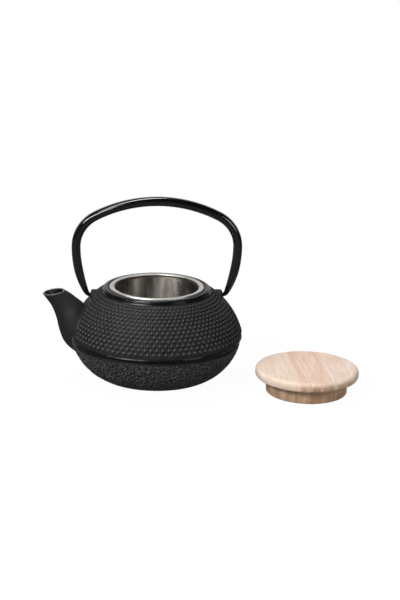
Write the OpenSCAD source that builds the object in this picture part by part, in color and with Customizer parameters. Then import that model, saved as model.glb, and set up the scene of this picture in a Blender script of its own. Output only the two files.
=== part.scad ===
// Cast-iron teapot with a bail handle, a lift-out infuser and a turned wooden lid.
// Millimetres. The origin is the middle of the foot on the table, +Z is up,
// the spout points along -X and the handle's hinge line runs along X.

/* [Casting] */
// Diameter across the belt, the pot's widest line
belt_d = 152; // [146:1:160]
// Height of the belt's middle above the table
belt_z = 39.5; // [37:0.5:42]
// Height of the belt's round bead
belt_h = 4; // [3:0.5:5]
// How far the bead stands out from the shoulder and from the bowl
belt_proud = 0.8; // [0.4:0.1:1.2]
// Radius of the groove under the belt
belt_groove_r = 1.8; // [1.2:0.1:2]
// Depth of that groove in the bowl's skin
belt_groove_depth = 1.2; // [0.6:0.1:1.4]
// Radius of the shoulder's curve
shoulder_r = 64; // [60:1:72]
// Height at which the shoulder meets the rim
shoulder_z = 79.8; // [78:0.2:82]
// Radius of the bowl's curve
bowl_r = 46; // [44:1:56]
// Diameter at which the bowl turns under to the foot
under_d = 100; // [94:1:106]
// Height of that turn above the table
under_z = 3.4; // [2.8:0.2:5]
// Outer diameter of the foot ring
foot_d = 76; // [68:1:82]
// Width of the foot ring's rest face
foot_w = 6; // [4:0.5:10]
// Height of the foot ring
foot_h = 1.2; // [0.8:0.1:2]
// Thickness of the cast wall
wall = 3.4; // [2.8:0.1:4]

/* [Studs] */
// Studs in a row around the shoulder
stud_count = 92; // [60:2:100]
// Rows of studs, each half a step on from the last
stud_rows = 13; // [6:1:13]
// Run along the shoulder from the rim's foot to the first row
stud_start = 3.9; // [3.4:0.1:5]
// Run along the shoulder from the first row to the second
stud_pitch = 3.25; // [3.1:0.05:3.4]
// Growth of that run from row to row
stud_growth = 0.04; // [0:0.01:0.05]
// Diameter of a stud's foot, at the belt
stud_d = 3.6; // [2.4:0.1:3.8]
// Diameter of a stud's flat tip, at the belt
stud_tip_d = 1.5; // [0.8:0.1:2.2]
// Height of a stud, at the belt
stud_h = 1; // [0.6:0.1:1.3]
// Seam between a stud's foot and the shoulder's skin
stud_seam = 0.05; // [0.03:0.01:0.1]
// Smooth iron between the studs and the spout, an ear or the belt
stud_clear = 1; // [0.5:0.5:6]

/* [Rim] */
// Width of the iron rim around the infuser's seat
rim_w = 4.5; // [3.5:0.1:6]
// Height of the rim above the shoulder
rim_h = 2.9; // [2.4:0.1:4]
// Rounding of the rim's outer edge
rim_round = 1; // [0.5:0.1:1.5]
// Radius of the groove at the rim's foot
groove_r = 0.9; // [0.5:0.1:1.2]
// Depth of the seat that takes the infuser
seat_depth = 1.6; // [1.2:0.1:2]
// Radial gap around the infuser in its seat
seat_gap = 0.4; // [0.3:0.1:0.8]
// Height of the neck's iron below the rim's foot
neck_h = 3.4; // [2.6:0.2:4.4]

/* [Spout] */
// How far the lip reaches out beyond the belt
spout_reach = 23.6; // [20:0.2:28]
// Height of the lip's outer edge above the belt's middle
spout_rise = 35.9; // [33:0.2:39]
// Diameter of the lip
lip_d = 19.7; // [17:0.1:22]
// Slope of the lip, outer edge lower
lip_tilt = 11.4; // [6:0.2:16]
// Metal thickness at the lip
lip_wall = 1.5; // [1.2:0.1:2.5]
// Width of the spout where it leaves the pot
root_w = 41; // [36:1:46]

/* [Ears] */
// How far the ears' outer faces stand out from the rim
ear_out = 10.5; // [9.5:0.1:12]
// Length of an ear along the hinge line
ear_len = 9.2; // [8:0.1:9.8]
// Diameter of the ear's round top
ear_d = 9.8; // [8.6:0.2:12]
// Width of the ear where it meets the shoulder
ear_foot_w = 15; // [12:0.5:20]
// Length of the ear's chamfered end
ear_chamfer = 1.6; // [1:0.1:2]
// Depth of the hinge line below the rim's foot
hinge_drop = 4.5; // [4:0.1:5]

/* [Handle] */
// Height of the grip's top above the hinge line
bail_rise = 88.1; // [80:0.5:98]
// Width over the arms
bail_w = 149; // [142:0.5:156]
// Radius of the grip's long curve, at its middle line
crown_r = 117; // [100:1:140]
// Radius of the two upper bends, at their middle line
corner_r = 30.8; // [26:0.2:36]
// Thickness of the grip in the plane of the bail
grip_t = 7.8; // [6.5:0.1:9]
// Width of the grip from front to back
grip_w = 11; // [9:0.5:13]
// Thickness of an arm at its foot
arm_t = 4.7; // [4:0.1:6]
// Width of an arm at its foot
arm_w = 6.4; // [5:0.1:8]
// Length of the taper at an arm's foot
taper_h = 24; // [18:1:32]
// How far an arm's foot stands out from the ear
hook_out = 4.2; // [3.6:0.1:5.5]
// Height of an arm's foot above the hinge line
hook_rise = 3.7; // [3:0.1:5]
// Diameter of the pin that turns in the ear
pin_d = 3.4; // [2.8:0.1:3.8]
// Radial gap around the pin
pin_gap = 0.4; // [0.3:0.1:0.6]
// Length of pin inside the ear
pin_len = 4.4; // [3.6:0.1:4.6]
// Length of pin between the ear and the hook
pin_out = 1.6; // [1.2:0.1:2]
// Gap between the hook's bend and the ear
hook_gap = 0.7; // [0.5:0.1:1]
// Slope of the hook where it becomes the pin
hook_slope = 25; // [15:1:35]
// Pull of the hook's curve at its two ends
hook_pull = 2.1; // [1.6:0.1:2.4]

/* [Infuser] */
// Outer diameter of the infuser's flange
flange_d = 85.2; // [82:0.2:88]
// Width of the flange's flat top
flange_w = 5.5; // [4.5:0.1:6.5]
// Thickness of the flange
flange_t = 1.2; // [0.9:0.1:1.4]
// Height of the flange's turned-down edge
hem_h = 2.4; // [2:0.1:3]
// Thickness of the turned-down edge
hem_t = 1.2; // [0.8:0.1:1.6]
// Setback of the skirt behind the flange's inner edge
skirt_back = 0.6; // [0.4:0.1:1]
// Thickness of the skirt below the flange
skirt_t = 0.7; // [0.5:0.1:0.9]
// Height of the skirt
skirt_h = 8; // [6:0.5:14]
// Depth of the bead below the flange
bead_drop = 1; // [0.6:0.1:2]
// Height of the bead inside the skirt
bead_h = 0.9; // [0.6:0.1:1.5]
// How far the bead stands in from the skirt
bead_in = 1; // [0.8:0.1:1.2]
// Radial gap between the skirt and the pot's neck
skirt_gap = 0.8; // [0.5:0.1:1.2]
// Thickness of the steel mesh
mesh_t = 0.6; // [0.4:0.1:0.8]
// Height of the mesh sleeve
sleeve_h = 55; // [44:1:62]
// Radial gap between the sleeve and the rings that hold it
sleeve_gap = 0.05; // [0.03:0.01:0.1]
// Thickness of the bottom hoop
hoop_t = 0.6; // [0.4:0.1:0.8]
// Height of the bottom hoop
hoop_h = 5; // [3:0.5:8]
// Width of the hoop's inner ledge under the mesh disc
hoop_ledge = 3.2; // [2:0.2:5]

/* [Lid] */
// Diameter of the lid
lid_d = 90.2; // [87:0.2:94]
// Thickness of the lid's disc
lid_t = 8.3; // [7:0.1:10]
// Rounding of the disc's upper edge
lid_round = 3.8; // [2.4:0.1:4]
// Rounding of the disc's lower edge
lid_under = 2.6; // [1.6:0.1:2.8]
// Radial gap between the plug and the infuser's flange
plug_gap = 1.7; // [1.4:0.1:2.5]
// Height of the plug below the disc
plug_h = 13.5; // [10:0.5:16]
// Rounding of the plug's lower edge
plug_round = 1; // [0.5:0.1:2]
// Place of the lid beside the pot, along X
lid_x = 130.3; // [128:0.1:140]
// Place of the lid beside the pot, along Y
lid_y = -40; // [-50:0.5:-30]
// Turn of the lid's glue lines from the Y axis
lid_turn = 1.2; // [-10:0.2:10]
// Place of the first glue line from the lid's middle
glue_left = -12.2; // [-16:0.1:-6]
// Place of the second glue line from the lid's middle
glue_right = 15.8; // [10:0.1:22]

/* [Hidden] */

$fn = 96;
fine_fn = 240;                             // facets of the casting's long curves
pin_fn = 48;                               // facets of the hinge pins and their holes
stud_fn = 16;                              // facets of a stud
cut = 1;                                   // overshoot of cuts

iron = "#2b2b2d";
black_iron = "#171718";
steel = "#b9b8b4";
mesh_steel = "#8d8a85";
pale_wood = "#e6d2bb";
pink_wood = "#d9b79c";
grey_wood = "#dfcab4";

// Casting
belt_r = belt_d / 2;
bead_r = belt_h / 2;
seat_r = flange_d / 2 + seat_gap;
rim_r = seat_r + rim_w;
rim_z = shoulder_z + rim_h;
seat_z = rim_z - seat_depth;
neck_r = flange_d / 2 - flange_w + skirt_back + skirt_t + skirt_gap;
neck_z = shoulder_z - neck_h;
floor_z = foot_h + wall;
shoulder_c = arc_centre([rim_r, shoulder_z], [belt_r - belt_proud, belt_z + bead_r], shoulder_r);
bowl_c = arc_centre([belt_r - belt_proud, belt_z - bead_r], [under_d / 2, under_z], bowl_r);

// Studs: turn of the shoulder's curve at its top, at its foot and at each row, and a place off its centre
shoulder_top_a = atan2(shoulder_z - shoulder_c[1], rim_r - shoulder_c[0]);
shoulder_foot_a = asin((belt_z + bead_r - shoulder_c[1]) / shoulder_r);
function stud_a(j) =
    shoulder_top_a - (stud_start + stud_pitch * j + stud_growth * j * (j - 1) / 2) / shoulder_r * 180 / PI;
function on_shoulder(a, r) = shoulder_c + r * [cos(a), sin(a)];
stud_margin = stud_d / 2 + stud_clear;

// Ears and handle
hinge_z = shoulder_z - hinge_drop;
ear_x = rim_r + ear_out;
pin_end_x = ear_x - pin_len;
bail_top_z = hinge_z + bail_rise - grip_t / 2;
arm_x = bail_w / 2 - grip_t / 2;
crown_z = bail_top_z - crown_r;
corner_x = arm_x - corner_r;
corner_z = crown_z + sqrt(pow(crown_r - corner_r, 2) - pow(corner_x, 2));
corner_a = atan2(corner_x, corner_z - crown_z);
foot_x = ear_x + hook_out;
foot_z = hinge_z + hook_rise;
arm_r = (pow(arm_x - foot_x, 2) + pow(corner_z - foot_z, 2)) / (2 * (arm_x - foot_x));
arm_a = asin((corner_z - foot_z) / arm_r);
grip_square = 2.5;                         // squareness of the grip's oval section
grip_sides = 16;
arc_steps = 9;                             // rings along each curve of the bail
hook_steps = 6;                            // rings along each hook

// Infuser
flange_z = seat_z + hem_h;
flange_in = flange_d / 2 - flange_w;
skirt_in = flange_in + skirt_back;
bead_top = flange_z - flange_t - bead_drop;
sleeve_top = bead_top - bead_h;
sleeve_r = skirt_in - sleeve_gap;
base_top = sleeve_top - sleeve_h;
base_z = base_top - mesh_t;
hoop_z = base_z - hoop_t;

// Lid
lid_r = lid_d / 2;
plug_r = flange_in - plug_gap;

// Spout: each station holds the section's lower and upper ends, out from the belt and up from
// the belt's middle, and its half width. The first is the lip, the last lies inside the wall.
lip_low = [spout_reach, spout_rise];
lip_high = lip_low + lip_d * [-cos(lip_tilt), sin(lip_tilt)];
spout_stations = [
    [lip_low, lip_high, lip_d / 2],
    [lip_low + [-7.1, -9.2], lip_high + [-4.8, -2.9], lip_d / 2 + 0.4],
    [[12.2, 15.7], [-5.7, 32.8], root_w / 2 - 8],
    [[10, 6], [-10.9, 28.6], root_w / 2 - 4.6],
    [[6, -5.3], [-16, 24.5], root_w / 2 - 1.6],
    [[-1.5, -13.5], [-21, 20.5], root_w / 2],
    [[-10, -18.5], [-26, 16.5], root_w / 2 - 1]
];
spout_top_z = belt_z + spout_stations[3][1][1] + stud_clear;   // the spout's root ends below this
spout_steps = 3;                           // rings from one station to the next
spout_sides = 28;

// Centre of the circle of radius r through p and q that lies to the right of the way from p to q
function arc_centre(p, q, r) =
    let (d = q - p, h = sqrt(r * r - (d * d) / 4))
    (p + q) / 2 + h / norm(d) * [d[1], -d[0]];

// A smooth curve through a list of values, at the place t counted in list steps
function pick(list, i) = list[min(max(i, 0), len(list) - 1)];
function smooth_at(list, t) =
    let (i = min(floor(t), len(list) - 2), u = t - i)
    let (a = pick(list, i - 1), b = pick(list, i), c = pick(list, i + 1), d = pick(list, i + 2))
    b + u / 2 * ((c - a) + u * ((2 * a - 5 * b + 4 * c - d) + u * (3 * b - a - 3 * c + d)));

// Faces of a tube that is swept through rings of n points, closed at both ends
function tube_faces(rings, n) = concat(
    [[for (k = [0:n - 1]) k]],
    [for (r = [0:rings - 2], k = [0:n - 1], half = [0, 1])
        let (a = r * n + k, b = r * n + (k + 1) % n)
        half == 0 ? [a, a + n, b] : [b, a + n, b + n]],
    [[for (k = [n - 1:-1:0]) (rings - 1) * n + k]]
);

// A slab in the profile plane, from the axis to x, with its lower and upper outer corners rounded
module round_slab(x, z0, z1, low_r, high_r) {
    half_h = (z1 - z0) / 2;
    translate([0, z0]) square([x - low_r, half_h]);
    translate([0, z0 + half_h]) square([x - high_r, half_h]);
    translate([0, z0 + low_r]) square([x, z1 - z0 - low_r - high_r]);
    if (low_r > 0) translate([x - low_r, z0 + low_r]) circle(low_r);
    if (high_r > 0) translate([x - high_r, z1 - high_r]) circle(high_r);
}

// Half profile of the pot's outside
module pot_outside() {
    difference() {
        union() {
            intersection() {
                translate(shoulder_c) circle(shoulder_r, $fn = fine_fn);
                translate([0, belt_z]) square([belt_r, shoulder_z - belt_z]);
            }
            intersection() {
                translate(bowl_c) circle(bowl_r, $fn = fine_fn);
                translate([bowl_c[0], under_z]) square([belt_r, belt_z - under_z]);
            }
            translate([0, under_z]) square([bowl_c[0], belt_z - under_z]);
            translate([belt_r - bead_r, belt_z]) circle(bead_r);
            polygon([[0, foot_h], [foot_d / 2, foot_h], [under_d / 2, under_z], [0, under_z]]);
            translate([foot_d / 2 - foot_w, 0]) square([foot_w, foot_h]);
            round_slab(rim_r, neck_z, rim_z, 0, rim_round);
        }
        translate([rim_r + groove_r / 2, shoulder_z]) circle(groove_r);
        translate([belt_r - belt_proud - belt_groove_depth + belt_groove_r, belt_z - bead_r - belt_groove_r / 2])
            circle(belt_groove_r);
    }
}

// Half profile of the pot's hollow: shoulder, bowl, neck and the infuser's seat
module pot_hollow() {
    intersection() {
        translate(shoulder_c) circle(shoulder_r - wall, $fn = fine_fn);
        translate([0, belt_z]) square([belt_r, neck_z - belt_z]);
    }
    intersection() {
        translate(bowl_c) circle(bowl_r - wall, $fn = fine_fn);
        translate([bowl_c[0], floor_z]) square([belt_r, belt_z - floor_z]);
    }
    translate([0, floor_z]) square([bowl_c[0], belt_z - floor_z]);
    translate([0, belt_z]) square([neck_r, rim_z + cut - belt_z]);
    translate([0, seat_z]) square([seat_r, seat_depth + cut]);
}

// One ring of the spout, drawn in by inset
function spout_ring(t, inset) =
    let (low = smooth_at([for (s = spout_stations) s[0]], t))
    let (high = smooth_at([for (s = spout_stations) s[1]], t))
    let (half_w = smooth_at([for (s = spout_stations) s[2]], t) - inset)
    let (mid = (low + high) / 2, arm = (low - high) / 2 * (1 - inset / norm((low - high) / 2)))
    [for (k = [0:spout_sides - 1])
        let (a = 360 * k / spout_sides, p = mid + arm * cos(a))
        [-belt_r - p[0], half_w * sin(a), belt_z + p[1]]];

// The spout's outside, or its bore when inset is the metal's thickness from the lip to the root
module spout_form(inset_lip, inset_root, overshoot) {
    last = len(spout_stations) - 1;
    count = last * spout_steps;
    lip = spout_ring(0, inset_lip);
    rings = [for (i = [0:count])
        spout_ring(i / spout_steps, inset_lip + (inset_root - inset_lip) * min(1, i / count * 2))];
    out = overshoot * [-sin(lip_tilt), 0, cos(lip_tilt)];
    tip = overshoot > 0 ? [[for (p = lip) p + out]] : [];
    all = concat(tip, rings);
    polyhedron([for (r = all) each r], tube_faces(len(all), spout_sides), convexity = 6);
}

// One ear on the +X side: a round-topped block that flares into the shoulder
module ear() {
    body_len = ear_len - ear_chamfer;
    translate([ear_x - ear_len, 0, hinge_z]) rotate([90, 0, 90]) {
        cylinder(h = body_len, d = ear_d);
        translate([0, 0, body_len]) cylinder(h = ear_chamfer, d1 = ear_d, d2 = ear_d - 2 * ear_chamfer);
        linear_extrude(body_len)
            polygon([[-ear_d / 2, 0], [-ear_foot_w / 2, -ear_d], [ear_foot_w / 2, -ear_d], [ear_d / 2, 0]]);
    }
}

// Blind hole for the handle's pin on the +X side
module ear_bore() {
    translate([pin_end_x - pin_gap, 0, hinge_z]) rotate([0, 90, 0])
        cylinder(h = pin_len + pin_gap + cut, r = pin_d / 2 + pin_gap, $fn = pin_fn);
}

// Turn of stud k in row j around the pot, from the spout
function stud_turn(j, k) = 180 + (k + (j % 2) / 2) * 360 / stud_count;

// True for a stud that keeps clear of the belt, of the spout's rounded root and of the ears
function stud_stands(j, k) =
    let (skin = on_shoulder(stud_a(j), shoulder_r))
    let (x = skin[0] * cos(stud_turn(j, k)), y = abs(skin[0] * sin(stud_turn(j, k))))
    let (by_belt = (stud_a(j) - shoulder_foot_a) * PI / 180 * shoulder_r < stud_margin)
    let (up = (skin[1] - belt_z) / (spout_top_z - belt_z))
    let (by_spout = x < 0 && up < 1 && y < (root_w / 2 + stud_margin) * sqrt(1 - up * up))
    let (by_ear = skin[1] > hinge_z - ear_d - stud_margin && y < ear_foot_w / 2 + stud_margin)
    !by_belt && !by_spout && !by_ear;

// The studs are cast with the shoulder: each is a short cone, smaller where the shoulder is narrower
module studs() {
    color(iron) for (j = [0:stud_rows - 1]) union() {
        skin = on_shoulder(stud_a(j), shoulder_r + stud_seam);
        size = skin[0] / belt_r;
        for (k = [0:stud_count - 1])
            if (stud_stands(j, k))
                rotate(stud_turn(j, k)) translate([skin[0], 0, skin[1]]) rotate([0, 90 - stud_a(j), 0])
                    cylinder(h = stud_h * size, d1 = stud_d * size, d2 = stud_tip_d * size, $fn = stud_fn);
    }
}

module spout_bore() {
    spout_form(lip_wall, wall, cut);
}

module pot_body() {
    color(iron) difference() {
        union() {
            rotate_extrude() pot_outside();
            ear();
            mirror([1, 0, 0]) ear();
        }
        rotate_extrude() pot_hollow();
        spout_bore();
        ear_bore();
        mirror([1, 0, 0]) ear_bore();
    }
}

// The spout is cast with the pot: it meets the pot's outer skin face to face
module spout() {
    color(iron) difference() {
        spout_form(0, 0, 0);
        rotate_extrude() pot_outside();
        spout_bore();
    }
}

// Middle line of one half of the bail, from the grip's top to the pin: [x, z] points
function bail_arc(c, r, a0, a1) = [for (i = [1:arc_steps])
    let (a = a0 + (a1 - a0) * i / arc_steps) [c[0] + r * sin(a), c[1] + r * cos(a)]];
function bezier(p, u) =
    pow(1 - u, 3) * p[0] + 3 * u * pow(1 - u, 2) * p[1] + 3 * u * u * (1 - u) * p[2] + pow(u, 3) * p[3];
hook_top = [foot_x, foot_z];
hook_end = [ear_x + hook_gap, hinge_z];
hook = [hook_top, hook_top - hook_pull * [sin(arm_a), cos(arm_a)],
        hook_end + hook_pull * [cos(hook_slope), sin(hook_slope)], hook_end];
half_line = concat(
    bail_arc([0, crown_z], crown_r, 0, corner_a),
    bail_arc([corner_x, corner_z], corner_r, corner_a, 90),
    bail_arc([arm_x - arm_r, corner_z], arm_r, 90, 90 + arm_a),
    [for (i = [1:hook_steps]) bezier(hook, i / hook_steps)]
);
bail_line = concat(
    [for (i = [len(half_line) - 1:-1:0]) [-half_line[i][0], half_line[i][1]]],
    [[0, bail_top_z]],
    half_line
);

// Thickness and width of the bail at a height: full above the taper, a round pin at the hook's end
function bail_size(z) =
    let (arm_u = min(1, max(0, (z - foot_z) / taper_h)), ease = arm_u * (2 - arm_u))
    let (hook_u = min(1, max(0, (z - hinge_z) / hook_rise)))
    z >= foot_z
        ? [arm_t + (grip_t - arm_t) * ease, arm_w + (grip_w - arm_w) * ease]
        : [pin_d + (arm_t - pin_d) * hook_u, pin_d + (arm_w - pin_d) * hook_u];

function squared(v) = sign(v) * pow(abs(v), 2 / grip_square);
function bail_ring(i) =
    let (p = bail_line[i], n = len(bail_line))
    let (d = bail_line[min(i + 1, n - 1)] - bail_line[max(i - 1, 0)], out = [-d[1], d[0]] / norm(d))
    let (size = bail_size(p[1]) / 2)
    [for (k = [0:grip_sides - 1])
        let (a = 360 * (k + 0.5) / grip_sides, q = p + out * size[0] * squared(cos(a)))
        [q[0], -size[1] * squared(sin(a)), q[1]]];

// Pin on the +X side, along the hinge line
module bail_pin() {
    translate([pin_end_x, 0, hinge_z]) rotate([0, 90, 0]) cylinder(h = pin_len + pin_out, d = pin_d, $fn = pin_fn);
}

module bail_handle() {
    rings = [for (i = [0:len(bail_line) - 1]) bail_ring(i)];
    color(black_iron) union() {
        polyhedron([for (r = rings) each r], tube_faces(len(rings), grip_sides), convexity = 6);
        bail_pin();
        mirror([1, 0, 0]) bail_pin();
    }
}

// Pressed ring: flat flange with a turned-down edge, and a skirt with a bead inside
module infuser_rim() {
    color(steel) rotate_extrude() {
        translate([flange_in, flange_z - flange_t]) square([flange_w, flange_t]);
        translate([flange_d / 2 - hem_t, seat_z]) square([hem_t, hem_h]);
        translate([skirt_in, flange_z - skirt_h]) square([skirt_t, skirt_h]);
        translate([skirt_in - bead_in, sleeve_top]) square([bead_in + skirt_t, bead_h]);
    }
}

module infuser_wall() {
    color(mesh_steel) translate([0, 0, base_top]) rotate_extrude()
        translate([sleeve_r - mesh_t, 0]) square([mesh_t, sleeve_h]);
}

module infuser_base() {
    color(mesh_steel) translate([0, 0, base_z]) cylinder(h = mesh_t, r = sleeve_r);
}

// Hoop with a ledge: the mesh disc lies on the ledge and the sleeve stands on the disc
module infuser_hoop() {
    band_in = sleeve_r + sleeve_gap;
    color(steel) translate([0, 0, hoop_z]) rotate_extrude() {
        translate([band_in, 0]) square([hoop_t, hoop_h]);
        translate([band_in - hoop_ledge, 0]) square([hoop_ledge + hoop_t, hoop_t]);
    }
}

// The turned lid before it is read as three staves, standing on its plug
module turned_lid() {
    rotate_extrude() {
        round_slab(plug_r, 0, plug_h + cut, plug_round, 0);
        round_slab(lid_r, plug_h, plug_h + lid_t, lid_under, lid_round);
    }
}

// The strip of the lid between two lines across it
module stave(from, to) {
    translate([lid_x, lid_y, 0]) rotate(lid_turn) intersection() {
        turned_lid();
        translate([from, -lid_d, -cut]) cube([to - from, 2 * lid_d, plug_h + lid_t + 2 * cut]);
    }
}

module lid_stave_left() {
    color(pale_wood) stave(-lid_d, glue_left);
}

module lid_stave_middle() {
    color(pink_wood) stave(glue_left, glue_right);
}

module lid_stave_right() {
    color(grey_wood) stave(glue_right, lid_d);
}

pot_body();
studs();
spout();
bail_handle();
infuser_rim();
infuser_wall();
infuser_base();
infuser_hoop();
lid_stave_left();
lid_stave_middle();
lid_stave_right();
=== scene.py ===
# %% [markdown]
# # Dressing a cast-iron teapot
# The CAD frame holds the pot, its bail handle, the infuser in its mouth and the wooden lid beside it, all
# at their real size and place. This lesson gives each of them its real surface: studs and casting grain
# on the iron, rolled edges on the steel, and figured wood on the lid. Nothing that the frame places is
# moved or resized.

# %% Load the frame
import math
from functools import lru_cache

import bmesh
import bpy
from mathutils import Matrix, Vector, noise


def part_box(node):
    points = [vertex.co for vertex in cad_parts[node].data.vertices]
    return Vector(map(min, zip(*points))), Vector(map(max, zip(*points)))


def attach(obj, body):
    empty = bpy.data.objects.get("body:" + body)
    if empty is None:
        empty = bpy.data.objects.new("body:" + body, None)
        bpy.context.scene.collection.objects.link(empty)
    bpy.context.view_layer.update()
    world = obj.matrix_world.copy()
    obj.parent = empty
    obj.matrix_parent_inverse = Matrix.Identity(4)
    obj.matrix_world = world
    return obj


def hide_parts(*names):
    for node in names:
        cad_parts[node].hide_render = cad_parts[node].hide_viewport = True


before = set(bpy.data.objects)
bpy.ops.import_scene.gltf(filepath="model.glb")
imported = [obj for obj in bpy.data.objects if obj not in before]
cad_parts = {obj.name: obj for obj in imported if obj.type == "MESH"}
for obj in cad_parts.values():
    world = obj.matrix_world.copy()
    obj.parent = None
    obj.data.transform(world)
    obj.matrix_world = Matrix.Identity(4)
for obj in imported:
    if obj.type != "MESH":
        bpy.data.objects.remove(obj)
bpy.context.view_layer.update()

MM = 0.001                                  # the drawing's unit, in Blender's metres

# %% [markdown]
# ## Helpers
# Most of this teapot is turned or swept, so three helpers do most of the work. An arc gives the points of
# a round stretch of an outline. A spun outline becomes a turned piece. A ring of edges that is extruded
# again and again, each time to the next place of its vertices, becomes a spout, an ear or a handle. Every
# vertex of such a ring carries its own angle, called turn, which the extrusion copies, so each new ring
# knows where its points belong.

# %% Helpers for outlines and turned pieces
def arc(centre, radius, start, stop, steps):
    """Points (r, z) of a circle from one angle to another, in degrees, with both ends."""
    angles = [math.radians(start + (stop - start) * i / steps) for i in range(steps + 1)]
    return [(centre[0] + radius * math.cos(a), centre[1] + radius * math.sin(a)) for a in angles]


WELD = 1e-4                                 # millimetres within which vertices count as one


def spin_outline(bm, outline, steps, closed=False):
    """Spins an outline of (r, z) points once around Z, from the -X side, and returns a layer of its rows."""
    row = bm.verts.layers.int.new("row")
    verts = [bm.verts.new((-r, 0, z)) for r, z in outline]
    for number, vert in enumerate(verts):
        vert[row] = number
    ends = zip(verts, verts[1:] + verts[:1]) if closed else zip(verts, verts[1:])
    edges = [bm.edges.new(pair) for pair in ends]
    bmesh.ops.spin(bm, geom=verts + edges, axis=(0, 0, 1), cent=(0, 0, 0), angle=2 * math.pi,
                   steps=steps, use_merge=True)
    bmesh.ops.remove_doubles(bm, verts=bm.verts, dist=WELD)
    bmesh.ops.recalc_face_normals(bm, faces=bm.faces)
    return row

# %% Helpers for rings that grow
def grow_rings(bm, edges, places):
    """Extrudes a ring of edges once for each place, a function from a vertex's turn to its position."""
    turn = bm.verts.layers.float["turn"]
    for place in places:
        grown = bmesh.ops.extrude_edge_only(bm, edges=edges)["geom"]
        verts = {part for part in grown if isinstance(part, bmesh.types.BMVert)}
        edges = [part for part in grown
                 if isinstance(part, bmesh.types.BMEdge) and verts.issuperset(part.verts)]
        for vert in verts:
            vert.co = place(vert[turn])
    return edges


def start_ring(bm, sides, place):
    """A first ring of vertices, each with its own turn, for grow_rings to work on."""
    turn = bm.verts.layers.float.new("turn")
    verts = bmesh.ops.create_circle(bm, segments=sides, radius=1)["verts"]
    for number, vert in enumerate(verts):
        vert[turn] = 2 * math.pi * (number + 0.5) / sides
        vert.co = place(vert[turn])
    return list({edge for vert in verts for edge in vert.link_edges})

# %% Helper for finished pieces
def make_piece(name, bm, materials, body, nodes=(), sharp_from=50):
    """Turns a bmesh in millimetres into a piece in metres that rides on a body and stands for CAD nodes.

    Edges that turn by sharp_from degrees or more stay sharp. The working layers don't go into the mesh.
    """
    bmesh.ops.scale(bm, vec=(MM, MM, MM), verts=bm.verts)
    for edge in bm.edges:
        edge.smooth = edge.calc_face_angle(0) < math.radians(sharp_from)
    for face in bm.faces:
        face.smooth = True
    open_edges = sum(not edge.is_manifold for edge in bm.edges)
    for layers, working in ((bm.verts.layers.int, "row"), (bm.verts.layers.float, "turn")):
        if working in layers:
            layers.remove(layers[working])
    mesh = bpy.data.meshes.new(name)
    bm.to_mesh(mesh)
    bm.free()
    for material in materials:
        mesh.materials.append(material)
    piece = bpy.data.objects.new(name, mesh)
    bpy.context.scene.collection.objects.link(piece)
    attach(piece, body)
    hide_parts(*nodes)
    mesh.calc_loop_triangles()
    print(f"{name}: {len(mesh.loop_triangles)} triangles, {open_edges} open edges")

# %% [markdown]
# ## The camera
# The photograph was taken with a long lens, a little above the pot and turned slightly towards its spout
# side. The focal length is written in pixels of the 400 x 600 picture, because it was measured there.

# %% Camera at the photograph's angle
PICTURE_HEIGHT = 600                        # pixels
FOCAL_LENGTH = 1476.4                       # pixels
SENSOR = 36.0                               # millimetres, along the picture's height
CAMERA_PLACE = Vector((-53.1, -1246.1, 446.0)) * MM
CAMERA_TURN, CAMERA_PITCH, CAMERA_ROLL = (math.radians(a) for a in (4.2, 16.733, 1.21))

camera_data = bpy.data.cameras.new("camera")
camera_data.sensor_fit = "VERTICAL"
camera_data.sensor_height = SENSOR
camera_data.lens = FOCAL_LENGTH / PICTURE_HEIGHT * SENSOR
camera = bpy.data.objects.new("camera", camera_data)
camera_way = Matrix.Rotation(-CAMERA_TURN, 4, "Z") @ Matrix.Rotation(math.pi / 2 - CAMERA_PITCH, 4, "X")
camera.matrix_world = Matrix.Translation(CAMERA_PLACE) @ camera_way @ Matrix.Rotation(CAMERA_ROLL, 4, "Z")
bpy.context.scene.collection.objects.link(camera)
bpy.context.scene.camera = camera
bpy.context.scene.view_settings.view_transform = "Standard"
print("lens in mm:", round(camera_data.lens, 2))

# %% [markdown]
# ## Nodes for the materials
# A material is a small tree of nodes. One helper adds a node and sets or links its inputs, so that each
# tree reads like a recipe. Effects that several finishes share are node groups, built once and placed
# with their own values: casting grain for the iron, places unrolled around the axis and a weave for the
# steel, and figure for the wood.

# %% Helpers for nodes
def add(tree, kind, inputs=None, **settings):
    """Adds a node, sets its properties, and links or sets the named or numbered inputs."""
    node = tree.nodes.new(kind)
    for name, value in settings.items():
        setattr(node, name, value)
    for name, value in (inputs or {}).items():
        if isinstance(value, bpy.types.NodeSocket):
            tree.links.new(value, node.inputs[name])
        else:
            node.inputs[name].default_value = value
    return node


def math_node(tree, operation, *values):
    """Adds a Math node and returns its result."""
    return add(tree, "ShaderNodeMath", dict(enumerate(values)), operation=operation).outputs[0]


def remap(tree, value, low, high, to_low=0.0, to_high=1.0):
    """Maps a value from one range to another, and clamps it there."""
    inputs = {"Value": value, "From Min": low, "From Max": high, "To Min": to_low, "To Max": to_high}
    return add(tree, "ShaderNodeMapRange", inputs).outputs[0]


def mix_values(tree, first, share, second):
    """Two values mixed: the first by its share, and the second by what is left."""
    rest = math_node(tree, "MULTIPLY", second, 1 - share)
    return math_node(tree, "MULTIPLY_ADD", first, share, rest)


MIX_FACTOR, MIX_A, MIX_B, MIX_RESULT = 0, 6, 7, 2   # a Mix node has many sockets: these are for colours


def blend_colours(tree, factor, first, second):
    """Two colours mixed: the first at a factor of 0, the second at 1."""
    inputs = {MIX_FACTOR: factor, MIX_A: first, MIX_B: second}
    return add(tree, "ShaderNodeMix", inputs, data_type="RGBA").outputs[MIX_RESULT]

# %% Helpers for node groups and materials
FLOAT, VECTOR = "NodeSocketFloat", "NodeSocketVector"


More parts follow.
